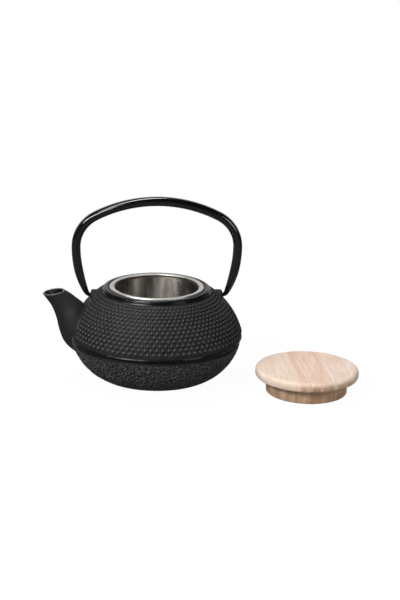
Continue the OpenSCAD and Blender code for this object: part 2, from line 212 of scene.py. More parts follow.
def new_group(name, inputs, outputs):
    """A node group with float and vector sockets, and its input and output nodes."""
    group = bpy.data.node_groups.new(name, "ShaderNodeTree")
    for socket, kind, value in inputs:
        made = group.interface.new_socket(socket, in_out="INPUT", socket_type=kind)
        if value is not None:
            made.default_value = value
    for socket, kind in outputs:
        group.interface.new_socket(socket, in_out="OUTPUT", socket_type=kind)
    return group, add(group, "NodeGroupInput").outputs, add(group, "NodeGroupOutput").inputs


def use_group(tree, group, inputs):
    """Places a node group with its own values and returns its outputs."""
    return add(tree, "ShaderNodeGroup", inputs, node_tree=group).outputs


def new_material(name, **sockets):
    """A material with a Principled shader, whose constant sockets are set here."""
    material = bpy.data.materials.new(name)
    material.use_nodes = True
    tree = material.node_tree
    shader = next(node for node in tree.nodes if node.type == "BSDF_PRINCIPLED")
    for socket, value in sockets.items():
        shader.inputs[socket.replace("_", " ")].default_value = value
    place = add(tree, "ShaderNodeTexCoord").outputs["Object"]
    return material, tree, shader, place

# %% [markdown]
# ## Floor, background and light
# The object stands on a plain pale floor before a white background. To the camera the floor is almost
# white near the object, where a small share of the real floor keeps the soft shadow, and pure white
# further away. So the background is white without more light on the object. Reflections see that white
# too, but only behind the object and near the horizon. Elsewhere they find a dim room, its ceiling and
# the floor out of the light, as in a studio, so that black iron stays black. Four soft boxes light the
# object: the main one at the left front, a long one above, a small one far to the left, and a square one
# at the right front.

# %% Floor
def background_factor(tree):
    """1 for the rays that should see the plain white background, 0 for those that carry light."""
    path = add(tree, "ShaderNodeLightPath").outputs
    seen = math_node(tree, "MAXIMUM", path["Is Camera Ray"], path["Is Glossy Ray"])
    return math_node(tree, "MAXIMUM", seen, path["Is Transmission Ray"])


FLOOR_SIZE = 12.0                           # metres along each side
FLOOR_SEEN, FLOOR_BOUNCE = 0.95, 0.45       # its colour to the eye, and for the light that it sends back
FLOOR_MIRRORED = 0.12                       # its colour in reflections, where it is out of the light
SHADOW_REACH = (0.18, 0.50)                 # metres from the pot, over which the real floor fades to white
SHADOW_SHARE, MIRRORED_SHARE = 0.03, 0.95   # the real floor's share, near the object and in reflections
floor_material = bpy.data.materials.new("floor_white")
floor_material.use_nodes = True
tree = floor_material.node_tree
tree.nodes.clear()
path = add(tree, "ShaderNodeLightPath").outputs
sent = remap(tree, path["Is Glossy Ray"], 0, 1, FLOOR_BOUNCE, FLOOR_MIRRORED)
grey = math_node(tree, "MAXIMUM", sent, math_node(tree, "MULTIPLY", path["Is Camera Ray"], FLOOR_SEEN))
lit = add(tree, "ShaderNodeBsdfDiffuse", {"Color": grey})
white = add(tree, "ShaderNodeEmission", {"Color": (1, 1, 1, 1), "Strength": 1.0})
spot = add(tree, "ShaderNodeTexCoord").outputs["Object"]
away = add(tree, "ShaderNodeVectorMath", {0: spot}, operation="LENGTH")
shaded = remap(tree, away.outputs["Value"], *SHADOW_REACH, SHADOW_SHARE, 0.0)
mirrored = remap(tree, path["Is Camera Ray"], 0, 1, MIRRORED_SHARE, 0.0)
real = math_node(tree, "MAXIMUM", shaded, mirrored)
share = math_node(tree, "MULTIPLY", background_factor(tree), math_node(tree, "SUBTRACT", 1.0, real))
both = add(tree, "ShaderNodeMixShader", {0: share, 1: lit.outputs[0], 2: white.outputs[0]})
add(tree, "ShaderNodeOutputMaterial", {"Surface": both.outputs[0]})

floor_bm = bmesh.new()
bmesh.ops.create_grid(floor_bm, x_segments=1, y_segments=1, size=FLOOR_SIZE / 2)
floor_mesh = bpy.data.meshes.new("floor")
floor_bm.to_mesh(floor_mesh)
floor_bm.free()
floor_mesh.materials.append(floor_material)
floor = bpy.data.objects.new("floor", floor_mesh)
bpy.context.scene.collection.objects.link(floor)
print("floor:", floor.name)

# %% World
WORLD_LEVEL = 0.14                          # light from all around
CEILING_LEVEL, ROOM_LEVEL = 0.10, 0.06      # how bright reflections see the ceiling and the room
HORIZON, CEILING = 0.10, 0.50               # heights of a ray's direction between which the white dims
ROOM_EDGE = (0.5, 0.92)                     # from the dim room in front of the object to the white behind it
world = bpy.data.worlds.new("studio")
bpy.context.scene.world = world
world.use_nodes = True
tree = world.node_tree
tree.nodes.clear()
path = add(tree, "ShaderNodeLightPath").outputs
way = add(tree, "ShaderNodeSeparateXYZ", {0: add(tree, "ShaderNodeTexCoord").outputs["Generated"]}).outputs
ceiling = remap(tree, way["Z"], HORIZON, CEILING, 1.0, CEILING_LEVEL)
behind = remap(tree, way["Y"], *ROOM_EDGE, ROOM_LEVEL, 1.0)
seen = math_node(tree, "MAXIMUM", path["Is Camera Ray"], math_node(tree, "MULTIPLY", ceiling, behind))
dim = add(tree, "ShaderNodeBackground", {"Color": (1, 1, 1, 1), "Strength": WORLD_LEVEL})
white = add(tree, "ShaderNodeBackground", {"Color": (1, 1, 1, 1), "Strength": seen})
both = add(tree, "ShaderNodeMixShader", {0: background_factor(tree), 1: dim.outputs[0], 2: white.outputs[0]})
add(tree, "ShaderNodeOutputWorld", {"Surface": both.outputs[0]})
print("world:", world.name)

# %% Soft boxes
LIGHT_AIM = Vector((0.03, 0, 0.06))         # metres, just right of the pot's middle


def soft_box(name, place, wide, tall, watts):
    """An area lamp that looks at the pot."""
    lamp = bpy.data.lights.new(name, "AREA")
    lamp.shape = "RECTANGLE"
    lamp.size, lamp.size_y = wide, tall
    lamp.energy = watts
    box = bpy.data.objects.new(name, lamp)
    aim = LIGHT_AIM - Vector(place)
    box.matrix_world = Matrix.Translation(place) @ aim.to_track_quat("-Z", "Y").to_matrix().to_4x4()
    bpy.context.scene.collection.objects.link(box)


soft_box("main_light", (-0.72, -0.92, 0.84), wide=0.90, tall=0.30, watts=15.0)
soft_box("top_light", (-0.28, 0.18, 1.28), wide=1.50, tall=0.26, watts=12.5)
soft_box("side_light", (-1.05, -0.35, 0.85), wide=0.16, tall=0.16, watts=1.2)
soft_box("right_light", (1.00, -0.90, 0.60), wide=0.60, tall=0.60, watts=5.0)
print("soft boxes:", [lamp.name for lamp in bpy.data.lights])

# %% [markdown]
# ## Casting grain
# All the iron is cast in sand, so one node group serves all its finishes. It gives a fine grain and a
# slow mottling, which each finish uses at its own scale.

# %% Node group: casting grain
NOISE_RANGE = (0.3, 0.7)                    # most values of a noise lie between these
MOTTLE_SCALE = 0.07                         # mottles for each grain


def build_cast_grain():
    """Sand-cast skin: fine grain over slow mottling, at a scale in grains per metre."""
    group, given, result = new_group(
        "cast_grain", [("Place", VECTOR, None), ("Grains", FLOAT, 900.0)],
        [("Grain", FLOAT), ("Mottle", FLOAT)])
    fine = add(group, "ShaderNodeTexNoise",
               {"Vector": given["Place"], "Scale": given["Grains"], "Detail": 4.0, "Roughness": 0.6})
    slow_scale = math_node(group, "MULTIPLY", given["Grains"], MOTTLE_SCALE)
    slow = add(group, "ShaderNodeTexNoise", {"Vector": given["Place"], "Scale": slow_scale, "Detail": 3.0})
    group.links.new(remap(group, fine.outputs[0], *NOISE_RANGE), result["Grain"])
    group.links.new(remap(group, slow.outputs[0], *NOISE_RANGE), result["Mottle"])
    return group


cast_grain = build_cast_grain()
print("node group:", cast_grain.name)

# %% [markdown]
# ## Black iron
# The casting has a satin black coat. The shoulder and spout are a neutral grey-black, the bowl below the
# belt is pebbled and a little olive, and the rim, the belt and the handle are glossier. All are one
# recipe with other values, and so is the enamel inside. Where a piece gives each place a tone, in an
# attribute, the coat is painted lighter and smoother on the high places, as wear and painted highlight,
# and dark in the low ones as painted shade. The bowl also has a finer layer of pebbles through a bump
# node, with tops painted lighter, as grain tone and painted glints, and pits darker as painted shade.

# %% Iron finishes
PEBBLE_TOP = 0.7                            # where a pebble's dome ends, in pebbles from its middle
PEBBLE_TONES = (0.40, 0.88)                 # tones that become the darkest places, painted shade, and the lightest, grain tone and painted glints


def iron_finish(name, dark, light, rough, grains, bump, gloss, relief=0.0, pebble=0.0, pebble_h=0.0):
    """Black iron: colours and roughness of its low and high places, and sizes of grain and pebbles.

    grains counts grains per metre. bump, pebble and pebble_h are millimetres: the grain's depth, and a
    pebble's width and height. relief is the share that the vertex tone attribute has in the tone: its
    high places take the light colour as wear and painted highlight, its low ones the dark as painted
    shade. A pebble's top is painted lighter as grain tone and painted glints, its pit darker as painted
    shade.
    """
    material, tree, shader, place = new_material(name, Specular_IOR_Level=gloss)
    grain = use_group(tree, cast_grain, {"Place": place, "Grains": grains})
    tone = mix_values(tree, grain["Grain"], 0.5, grain["Mottle"])
    if relief:
        tone_and_painted_light = add(tree, "ShaderNodeAttribute", attribute_name="tone_and_painted_light").outputs["Fac"]
        tone = mix_values(tree, tone_and_painted_light, relief, tone)
    lift = add(tree, "ShaderNodeBump", {"Strength": 1.0, "Distance": bump * MM, "Height": grain["Grain"]})
    if pebble:
        cells = add(tree, "ShaderNodeTexVoronoi", {"Vector": place, "Scale": 1 / (pebble * MM)})
        slope = remap(tree, cells.outputs["Distance"], 0.0, PEBBLE_TOP)
        dome = math_node(tree, "SUBTRACT", 1.0, math_node(tree, "POWER", slope, 2.0))
        tone = remap(tree, mix_values(tree, dome, 0.5, tone), *PEBBLE_TONES)
        lift = add(tree, "ShaderNodeBump", {"Strength": 1.0, "Distance": pebble_h * MM, "Height": dome,
                                            "Normal": lift.outputs[0]})
    tree.links.new(blend_colours(tree, tone, (*dark, 1), (*light, 1)), shader.inputs["Base Color"])
    tree.links.new(remap(tree, tone, 0, 1, *rough), shader.inputs["Roughness"])
    tree.links.new(lift.outputs[0], shader.inputs["Normal"])
    return material


# On studded and bowl iron the light colour is wear and painted highlight, the dark one painted shade
studded_iron = iron_finish("studded_iron", (0.003, 0.003, 0.0033), (0.130, 0.130, 0.135),
                           rough=(0.70, 0.20), grains=1500, bump=0.03, gloss=0.3, relief=0.9)
bowl_iron = iron_finish("bowl_iron", (0.0035, 0.0034, 0.0026), (0.092, 0.091, 0.078),
                        rough=(0.62, 0.15), grains=1100, bump=0.03, gloss=0.9, relief=0.6,
                        pebble=1.9, pebble_h=2.0)
rim_iron = iron_finish("rim_iron", (0.004, 0.004, 0.004), (0.007, 0.007, 0.007),
                       rough=(0.13, 0.17), grains=700, bump=0.005, gloss=0.3)
inner_enamel = iron_finish("inner_enamel", (0.010, 0.010, 0.010), (0.016, 0.015, 0.014),
                           rough=(0.30, 0.42), grains=600, bump=0.03, gloss=0.3)
handle_iron = iron_finish("handle_iron", (0.0022, 0.0020, 0.0017), (0.0036, 0.0032, 0.0028),
                          rough=(0.10, 0.12), grains=800, bump=0.001, gloss=0.75)
print("iron finishes:", [m.name for m in (studded_iron, bowl_iron, rim_iron, inner_enamel, handle_iron)])

# %% [markdown]
# ## The pot's outline
# A potter or a pattern maker would draw half of the pot and turn it. The outline runs from the middle of
# the underside out over the foot ring, up the bowl, around the belt with its undercut, over the shoulder,
# around the rim, and down the inside to the middle of the floor. Each stud row is a point of the outline,
# so that the spun mesh has a vertex where each stud will stand.

# %% Sizes of the pot, in millimetres
pot_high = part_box("pot_body")[1] / MM
BELT_R, RIM_Z = pot_high.y, pot_high.z
SKIN_R = BELT_R - 0.8                       # the belt stands this little proud of shoulder and bowl
SHOULDER_TOP, SHOULDER_FOOT, SHOULDER_R = (47.5, RIM_Z - 2.9), (SKIN_R, 41.5), 64.0
BOWL_TOP, BOWL_TURN, BOWL_R = (SKIN_R, 37.5), (50.0, 3.4), 46.0
BOWL_END = 33.4                             # height at which the bowl's skin turns into the groove
WALL = 3.4                                  # thickness of the iron
FOOT_IN, FOOT_OUT, FOOT_H = 32.0, 38.0, 1.2
BELT_ROUND, BELT_EDGE = 0.7, 38.9           # radius of the belt's rounded edge, and its height
RIM_R, RIM_ROUND, RIM_COVE, MOUTH_ROUND = 47.5, 2.3, 0.7, 1.4
RIM_FOOT = RIM_Z - RIM_ROUND
SEAT_R, SEAT_Z, NECK_R, NECK_Z = 42.6, 81.1, 39.2, 76.4   # the infuser's seat, and the neck under it
FLOOR_Z = FOOT_H + WALL
INNER_BELT = (40.5, 38.5)                   # heights between which the inside turns from shoulder to bowl
COLUMNS = 184                               # two for each of the 92 studs of a row
STUD_ROWS, ROW_START, ROW_PITCH, ROW_GROWTH = 13, 3.9, 3.25, 0.04
PLAIN_ROWS = (2.2, 47.2)                    # runs of the plain rows above and below the studs
BOWL_STEPS, INNER_STEPS = 54, 16
print("pot:", round(2 * BELT_R, 1), "mm across the belt,", round(RIM_Z, 1), "mm to the rim")

# %% The two big curves of shoulder and bowl
def circle_centre(p, q, radius):
    """Centre of the circle through p and q that lies to the right of the way from p to q."""
    way = Vector(q) - Vector(p)
    rise = math.sqrt(radius ** 2 - way.length_squared / 4)
    return (Vector(p) + Vector(q)) / 2 + rise * Vector((way.y, -way.x)).normalized()


shoulder_c = circle_centre(SHOULDER_TOP, SHOULDER_FOOT, SHOULDER_R)
bowl_c = circle_centre(BOWL_TOP, BOWL_TURN, BOWL_R)


def shoulder_point(run):
    """Point of the shoulder at a run along its curve from the rim's foot."""
    top = math.atan2(SHOULDER_TOP[1] - shoulder_c.y, SHOULDER_TOP[0] - shoulder_c.x)
    angle = top - run / SHOULDER_R
    return (shoulder_c.x + SHOULDER_R * math.cos(angle), shoulder_c.y + SHOULDER_R * math.sin(angle))


def skin_radius(z, inset=0.0):
    """Radius of the pot's skin at a height, without the belt, drawn in by inset."""
    above_belt = z > (BOWL_TOP[1] + SHOULDER_FOOT[1]) / 2
    centre, radius = (shoulder_c, SHOULDER_R) if above_belt else (bowl_c, BOWL_R)
    return centre.x + math.sqrt(max((radius - inset) ** 2 - (z - centre.y) ** 2, 0.0))


def arc_between(centre, radius, start_z, stop_z, steps):
    """Points of a circle's right side from one height to another."""
    start, stop = (math.degrees(math.asin((z - centre.y) / radius)) for z in (start_z, stop_z))
    return arc(centre, radius, start, stop, steps)


print("centres:", [[round(c, 1) for c in centre] for centre in (shoulder_c, bowl_c)])

# %% The outline, as runs of points
outline, rows_of = [], {}


def run(name, points):
    """Adds a run of points to the outline, and notes their rows under a name."""
    rows_of[name] = range(len(outline), len(outline) + len(points))
    outline.extend(points)


stud_runs = [ROW_START + ROW_PITCH * j + ROW_GROWTH * j * (j - 1) / 2 for j in range(STUD_ROWS)]
run("foot", [(0, FOOT_H), (16, FOOT_H), (FOOT_IN - 0.4, FOOT_H), (FOOT_IN, FOOT_H - 0.4), (FOOT_IN, 0.3),
             (FOOT_IN + 0.3, 0), (FOOT_OUT - 0.3, 0), (FOOT_OUT, 0.3), (FOOT_OUT, FOOT_H - 0.3),
             (FOOT_OUT + 0.4, FOOT_H + 0.1), (44, 2.3)])
run("bowl", arc_between(bowl_c, BOWL_R, BOWL_TURN[1], BOWL_END, BOWL_STEPS))
run("groove", [(SKIN_R - 1.5, 34.2), (SKIN_R - 2.3, 35.1), (SKIN_R - 2.6, 36.3), (SKIN_R - 2.3, 37.4),
               (SKIN_R - 1.2, 38.0), (SKIN_R + 0.1, 38.3)])
run("belt", arc((BELT_R - BELT_ROUND, BELT_EDGE), BELT_ROUND, -70, 60, 8))
run("strip", [(SKIN_R + 0.2, 39.9), (SKIN_R + 0.1, 40.5), SHOULDER_FOOT])
run("shoulder", [shoulder_point(PLAIN_ROWS[1])] + [shoulder_point(s) for s in reversed(stud_runs)]
    + [shoulder_point(PLAIN_ROWS[0]), (RIM_R + 1.2, RIM_FOOT - 0.75)])
run("rim", arc((RIM_R + 0.5, RIM_FOOT), RIM_COVE, -40, -170, 6)
    + arc((RIM_R - RIM_ROUND, RIM_FOOT), RIM_ROUND, 20, 90, 9)
    + arc((SEAT_R + MOUTH_ROUND, RIM_Z - MOUTH_ROUND), MOUTH_ROUND, 80, 180, 8))
run("inside", [(SEAT_R, SEAT_Z + 0.2), (SEAT_R - 0.2, SEAT_Z), (NECK_R + 0.3, SEAT_Z),
               (NECK_R, SEAT_Z - 0.3), (NECK_R, NECK_Z + 0.4), (NECK_R + 0.4, NECK_Z)]
    + arc_between(shoulder_c, SHOULDER_R - WALL, NECK_Z, INNER_BELT[0], INNER_STEPS)
    + arc_between(bowl_c, BOWL_R - WALL, INNER_BELT[1], FLOOR_Z, INNER_STEPS)
    + [(24, FLOOR_Z), (0, FLOOR_Z)])
print("outline:", {name: len(rows) for name, rows in rows_of.items()})

# %% [markdown]
# ## Spinning the pot
# One spin makes the closed shell. The faces get their finish now, while each row still has its number,
# because every later operator copies it. The bowl's rows are then cut finer, to carry the casting's
# coarse grain as real relief. A second layer gives each vertex a tone for the finishes: low places are
# painted dark as painted shade, high ones light as wear and painted highlight.

# %% Spin the shell and mark its finishes
pot = bmesh.new()
row = spin_outline(pot, outline, COLUMNS)
# Numbers of the finishes in the pot's list of materials: studded, bowl, rim and inner
FINISH_OF = {"foot": 1, "bowl": 1, "groove": 0, "belt": 2, "strip": 0, "shoulder": 0, "rim": 2, "inside": 3}
finish_of_row = {number: FINISH_OF[name] for name, rows in rows_of.items() for number in rows}
for face in pot.faces:
    face.material_index = max(finish_of_row[vert[row]] for vert in face.verts)


def column(vert):
    """Column of a vertex: 0 at the spout, counted both ways round, -Y positive."""
    return math.atan2(-vert.co.y, -vert.co.x) / (2 * math.pi) * COLUMNS


bowl_rows = set(rows_of["bowl"])
level_edges = [e for e in pot.edges
               if e.verts[0][row] == e.verts[1][row] and e.verts[0][row] in bowl_rows]
bmesh.ops.subdivide_edges(pot, edges=level_edges, cuts=2)
print("shell:", len(pot.verts), "vertices,", len(pot.faces), "faces")

# %% Give each place its tone, with painted highlight and painted shade
SMOOTH, GROOVE, STRIP = 0.01, -0.1, -0.02   # the plain skin, the groove under the belt painted dark as painted shade, the strip over it a little darker
GAP, STUD_FOOT, STUD_TIP = 0.16, -0.02, 1.0   # between the studs; at a stud's foot, painted dark as painted shade; at its tip, light as wear and painted highlight
WEAR_AND_HIGHLIGHT = 1.0                                # the lip and the crook painted bright: a painted highlight, with wear on the lip
tone_and_painted_light = pot.verts.layers.float.new("tone_and_painted_light")
level_of = dict.fromkeys(rows_of["groove"], GROOVE) | dict.fromkeys(rows_of["strip"], STRIP)
for vert in pot.verts:
    vert[tone_and_painted_light] = level_of.get(vert[row], SMOOTH)
print("raised:", len(level_of), "rows lie lower than the plain skin")

# %% [markdown]
# ## Drawing out the spout
# The spout is cast with the wall, so it grows out of it. A window is opened in the shell, its border gets
# a turn for each vertex, and the border is extruded ring by ring: first over the wall to the spout's
# foot, then around a small fillet, then up the spout's own stations to the lip, around the lip, and down
# the bore to a second window in the inner wall. The stations are the frame's: the lower and upper end of
# a section, out from the belt and up from it, and half its width. The spout has the shoulder's finish in
# an even tone. Its lip is painted bright, as wear and a painted highlight, and a short stretch of the
# crook on each side is painted bright as a painted highlight. Where the foot lies below the belt, it
# keeps the bowl's finish.

# %% The spout's stations
BELT_Z = 39.5
LIP_TILT, LIP_WALL = math.radians(11.4), 1.5
SPOUT_STATIONS = [
    ((23.8, 36.9), (4.3, 39.8), 9.85),
    ((16.5, 26.7), (-0.5, 36.9), 10.25),
    ((12.2, 15.7), (-5.7, 32.8), 12.5),
    ((10.0, 6.0), (-10.9, 28.6), 15.9),
    ((6.0, -5.3), (-16.0, 24.5), 18.9),
    ((-1.5, -13.5), (-21.0, 20.5), 20.5),
    ((-10.0, -18.5), (-26.0, 16.5), 19.5),
]
LAST = len(SPOUT_STATIONS) - 1


def smooth_between(values, t):
    """A smooth curve through a list of vectors, at the place t counted in list steps."""
    i = min(int(t), len(values) - 2)
    u = t - i
    a, b, c, d = (values[min(max(i + k, 0), len(values) - 1)] for k in (-1, 0, 1, 2))
    return b + u / 2 * ((c - a) + u * ((2 * a - 5 * b + 4 * c - d) + u * (3 * b - a - 3 * c + d)))


def spout_point(t, turn, inset=0.0):
    """Point of the spout at station t, at a turn from its lower side, drawn in by inset."""
    low = smooth_between([Vector(s[0]) for s in SPOUT_STATIONS], t)
    high = smooth_between([Vector(s[1]) for s in SPOUT_STATIONS], t)
    half = smooth_between([Vector((s[2], 0)) for s in SPOUT_STATIONS], t).x - inset
    reach = (low - high) / 2
    spot = (low + high) / 2 + reach * (1 - inset / reach.length) * math.cos(turn)
    return Vector((-BELT_R - spot.x, half * math.sin(turn), BELT_Z + spot.y))


print("spout:", len(SPOUT_STATIONS), "stations")

# %% Where the spout meets the skin
HALVINGS = 30                               # of the range in which a station is sought


def height_over_skin(point, inset=0.0):
    """How far a point stands out from the pot's skin, or from a skin drawn in by inset."""
    return math.hypot(point.x, point.y) - skin_radius(point.z, inset)


def station_at_height(turn, height, spout_inset=0.0, skin_inset=0.0):
    """Station at which a line along the spout comes down to a height over the pot's skin."""
    low, high = 1.0, float(LAST)
    for _ in range(HALVINGS):
        middle = (low + high) / 2
        point = spout_point(middle, turn, spout_inset)
        low, high = (middle, high) if height_over_skin(point, skin_inset) > height else (low, middle)
    return low


def on_skin(point, inset=0.0):
    """The point moved along its radius onto the pot's skin."""
    around = Vector((point.x, point.y, 0)).normalized() * skin_radius(point.z, inset)
    return Vector((around.x, around.y, point.z))


meeting = [round(station_at_height(turn, 0.0), 2) for turn in (0.0, math.pi)]
print("spout meets the skin below and above at the stations", meeting)

# %% Open the window in the wall
WINDOW_LOW, WINDOW_HIGH = 17.5, 69.0        # heights between which the wall is opened
WINDOW_WAIST = (34.0, 56.0)                 # heights between which the window has its full width
WINDOW_COLUMNS, WINDOW_END = 9, 4           # columns from the spout's middle, there and at the window's ends
WINDOW_CURVE = 1.5                          # power by which it narrows between them
COLUMN_SLACK = 0.1                          # columns, for rounding
OUTSIDE = range(rows_of["bowl"][0], rows_of["rim"][0])
WINDOW_ROWS = [number for number in OUTSIDE if WINDOW_LOW < outline[number][1] < WINDOW_HIGH]


def window_side(number):
    """Columns from the spout's middle to the window's side, on one row: it narrows above and below."""
    z = outline[number][1]
    above = max(0, z - WINDOW_WAIST[1]) / (WINDOW_HIGH - WINDOW_WAIST[1])
    below = max(0, WINDOW_WAIST[0] - z) / (WINDOW_WAIST[0] - WINDOW_LOW)
    return round(WINDOW_COLUMNS - (WINDOW_COLUMNS - WINDOW_END) * max(above, below) ** WINDOW_CURVE)


def open_window(side_of):
    """Deletes the faces within so many columns on each of the rows, and returns the border's edges."""
    inside = [f for f in pot.faces
              if all(abs(column(v)) < side_of.get(v[row], -1) + COLUMN_SLACK for v in f.verts)]
    bmesh.ops.delete(pot, geom=inside, context="FACES")
    return [e for e in pot.edges if e.is_boundary]


border = open_window({number: window_side(number) for number in WINDOW_ROWS})
turn = pot.verts.layers.float.new("turn")
start_of = {}
window = {vert for edge in border for vert in edge.verts}
z_low, z_high = min(v.co.z for v in window), max(v.co.z for v in window)
y_high = max(v.co.y for v in window)
for vert in window:
    across, up = vert.co.y / y_high, (2 * vert.co.z - z_low - z_high) / (z_high - z_low)
    vert[turn] = math.atan2(across, -up)
    start_of[round(vert[turn], 5)] = vert.co.copy()
print("window:", len(window), "vertices around it")

# %% Places of the rings at the spout's foot
FILLET, ROOT_FILLET = 1.7, 2.4              # at the spout's top and sides, and under it
ROOT_INSET = 6.0                            # a root line this much smaller shows which way is outward


@lru_cache(maxsize=None)
def root_of(angle):
    """The fillet at one angle: its top's station, where spout and skin would meet, and its foot."""
    fillet = FILLET + (ROOT_FILLET - FILLET) * max(0, math.cos(angle))
    top = station_at_height(angle, fillet)
    at_skin = station_at_height(angle, 0.0)
    meet = spout_point(at_skin, angle)
    outward = meet - on_skin(spout_point(at_skin, angle, ROOT_INSET))
    return top, meet, on_skin(meet + outward.normalized() * fillet)


def over_wall(u):
    """From the window's border to the fillet's foot, on the skin, while the belt fades out."""
    def place(angle):
        start = start_of[round(angle, 5)]
        foot = root_of(angle)[2]
        proud = height_over_skin(start) * (1 - u)
        flat = on_skin(start.lerp(foot, u))
        return flat + Vector((flat.x, flat.y, 0)).normalized() * proud
    return place


def around_fillet(u):
    """A curve from the fillet's foot to its top, pulled to the corner between skin and spout."""
    def place(angle):
        top, meet, foot = root_of(angle)
        head = spout_point(top, angle)
        return foot * (1 - u) ** 2 + meet * 2 * u * (1 - u) + head * u ** 2
    return place


print("spout's foot, below:", [round(c, 1) for c in root_of(0.0)[2]])

# %% Places of the rings up the spout and down the bore
def along_spout(u):
    """From the fillet's top to the lip."""
    return lambda angle: spout_point(root_of(angle)[0] * (1 - u), angle)


def around_lip(u):
    """Half a turn over the lip, from the outside to the bore."""
    inset = LIP_WALL / 2 * (1 - math.cos(math.pi * u))
    lift = Vector((-math.sin(LIP_TILT), 0, math.cos(LIP_TILT))) * LIP_WALL / 3 * math.sin(math.pi * u)
    return lambda angle: spout_point(0, angle, inset) + lift


def bore_inset(t):
    """The spout's wall, thin at the lip and full from half way down."""
    return LIP_WALL + (WALL - LIP_WALL) * min(1, t * 2 / LAST)


def along_bore(u):
    """From the lip down the bore to the inner wall."""
    def place(angle):
        t = station_at_height(angle, 0.0, WALL, WALL) * u
        return spout_point(t, angle, bore_inset(t))
    return place


def steps(count):
    """Even steps from 0 to 1, without the 0."""
    return [(i + 1) / count for i in range(count)]


print("spout's lip, below:", [round(c, 1) for c in spout_point(0, 0.0)])

# %% Grow the spout's outside
FOOT_STEPS, FILLET_STEPS, SPOUT_STEPS, LIP_STEPS = 3, 5, 20, 5
CROOK_RINGS = FOOT_STEPS + FILLET_STEPS // 2   # the last of these rings lies within the fillet
HIGHLIGHT_TURN, HIGHLIGHT_REACH = 1.85, 0.28      # where the crook is painted bright as a painted highlight, as turns from the lower side
wall_faces, wall_verts = set(pot.faces), set(pot.verts)
places = [over_wall(u) for u in steps(FOOT_STEPS)] + [around_fillet(u) for u in steps(FILLET_STEPS)]
crook = grow_rings(pot, border, places[:CROOK_RINGS])
places = places[CROOK_RINGS:] + [along_spout(u) for u in steps(SPOUT_STEPS)]
spout_top = grow_rings(pot, crook, places)
below_lip = set(pot.verts)
for vert in below_lip - wall_verts:
    vert[tone_and_painted_light] = SMOOTH
# A short stretch of the crook on each side is painted bright: a painted highlight
for vert in {vert for edge in crook for vert in edge.verts}:
    off = abs(abs(vert[turn]) - HIGHLIGHT_TURN) / HIGHLIGHT_REACH
    vert[tone_and_painted_light] = SMOOTH + WEAR_AND_HIGHLIGHT * max(0, 1 - off)
spout_end = grow_rings(pot, spout_top, [around_lip(u) for u in steps(LIP_STEPS)])
# The lip is painted bright: wear and a painted highlight
for vert in set(pot.verts) - below_lip:
    vert[tone_and_painted_light] = WEAR_AND_HIGHLIGHT
bowl_top = outline[rows_of["bowl"][-1]][1]
for face in set(pot.faces) - wall_faces:
    spot = face.calc_center_median()
    on_bowl = spot.z < bowl_top and height_over_skin(spot) < FILLET / 2
    face.material_index = FINISH_OF["bowl"] if on_bowl else FINISH_OF["shoulder"]
print("spout:", FOOT_STEPS + FILLET_STEPS + SPOUT_STEPS + LIP_STEPS, "rings outside")

# %% Grow the bore and join it to the inner wall
BORE_STEPS = 16
INNER_LOW, INNER_HIGH = 24.0, 67.0          # heights between which the inner wall is opened
NECK_CLEAR = 5.0                            # the inner window keeps this far out from the neck
INNER_ROWS = [number for number in rows_of["inside"]
              if INNER_LOW < outline[number][1] < INNER_HIGH and outline[number][0] > NECK_R + NECK_CLEAR]
outer_faces = set(pot.faces)
bore_end = grow_rings(pot, spout_end, [along_bore(u) for u in steps(BORE_STEPS)])
bore_faces = set(pot.faces) - outer_faces
open_edges = open_window(dict.fromkeys(INNER_ROWS, WINDOW_COLUMNS))
inner_border = [edge for edge in open_edges if edge not in bore_end]
bridge = bmesh.ops.bridge_loops(pot, edges=bore_end + inner_border)
for face in [*bore_faces, *bridge["faces"]]:
    face.material_index = FINISH_OF["inside"]
print("bore:", BORE_STEPS, "rings inside")

# %% [markdown]
# ## Raising the studs
# The shoulder is covered with staggered rows of small round studs, a traditional pattern on such pots.
# They are part of the casting, so they are raised from its own mesh and not laid on top. Every second
# vertex of a stud row is bevelled to a diamond, the diamond's sides are split and pushed out until it is
# round, and two insets and a poke lift it to a dome. Studs shrink towards the rim, as the columns close
# up there.

# %% Raise the studs
HINGE_Z, EAR_R, EAR_DEPTH, EAR_FLARE = 75.3, 4.9, 9.8, 3.0   # the ears, which are grown below
STUD_SHARE, STUD_HEIGHT = 0.60, 1.45        # radius as a share of the column pitch, and height at the belt
DOME = [(0.22, 0.50, 0.05), (0.36, 0.34, 0.22)]   # two rings: inset, lift, and tone, the low ring painted dark as painted shade
TIP = 0.16                                  # the tip's lift over the last ring, as a share of the height
WINDOW_GAP = 0.5                            # columns between the spout's window and the first stud
ON_ROW = 0.2                                # vertices further from the row's radius belong to the spout


def under_ear(spot):
    """Whether a place on the shoulder lies under one of the two ears."""
    return spot.z > HINGE_Z - EAR_DEPTH and abs(spot.y) < EAR_R + EAR_FLARE / 2


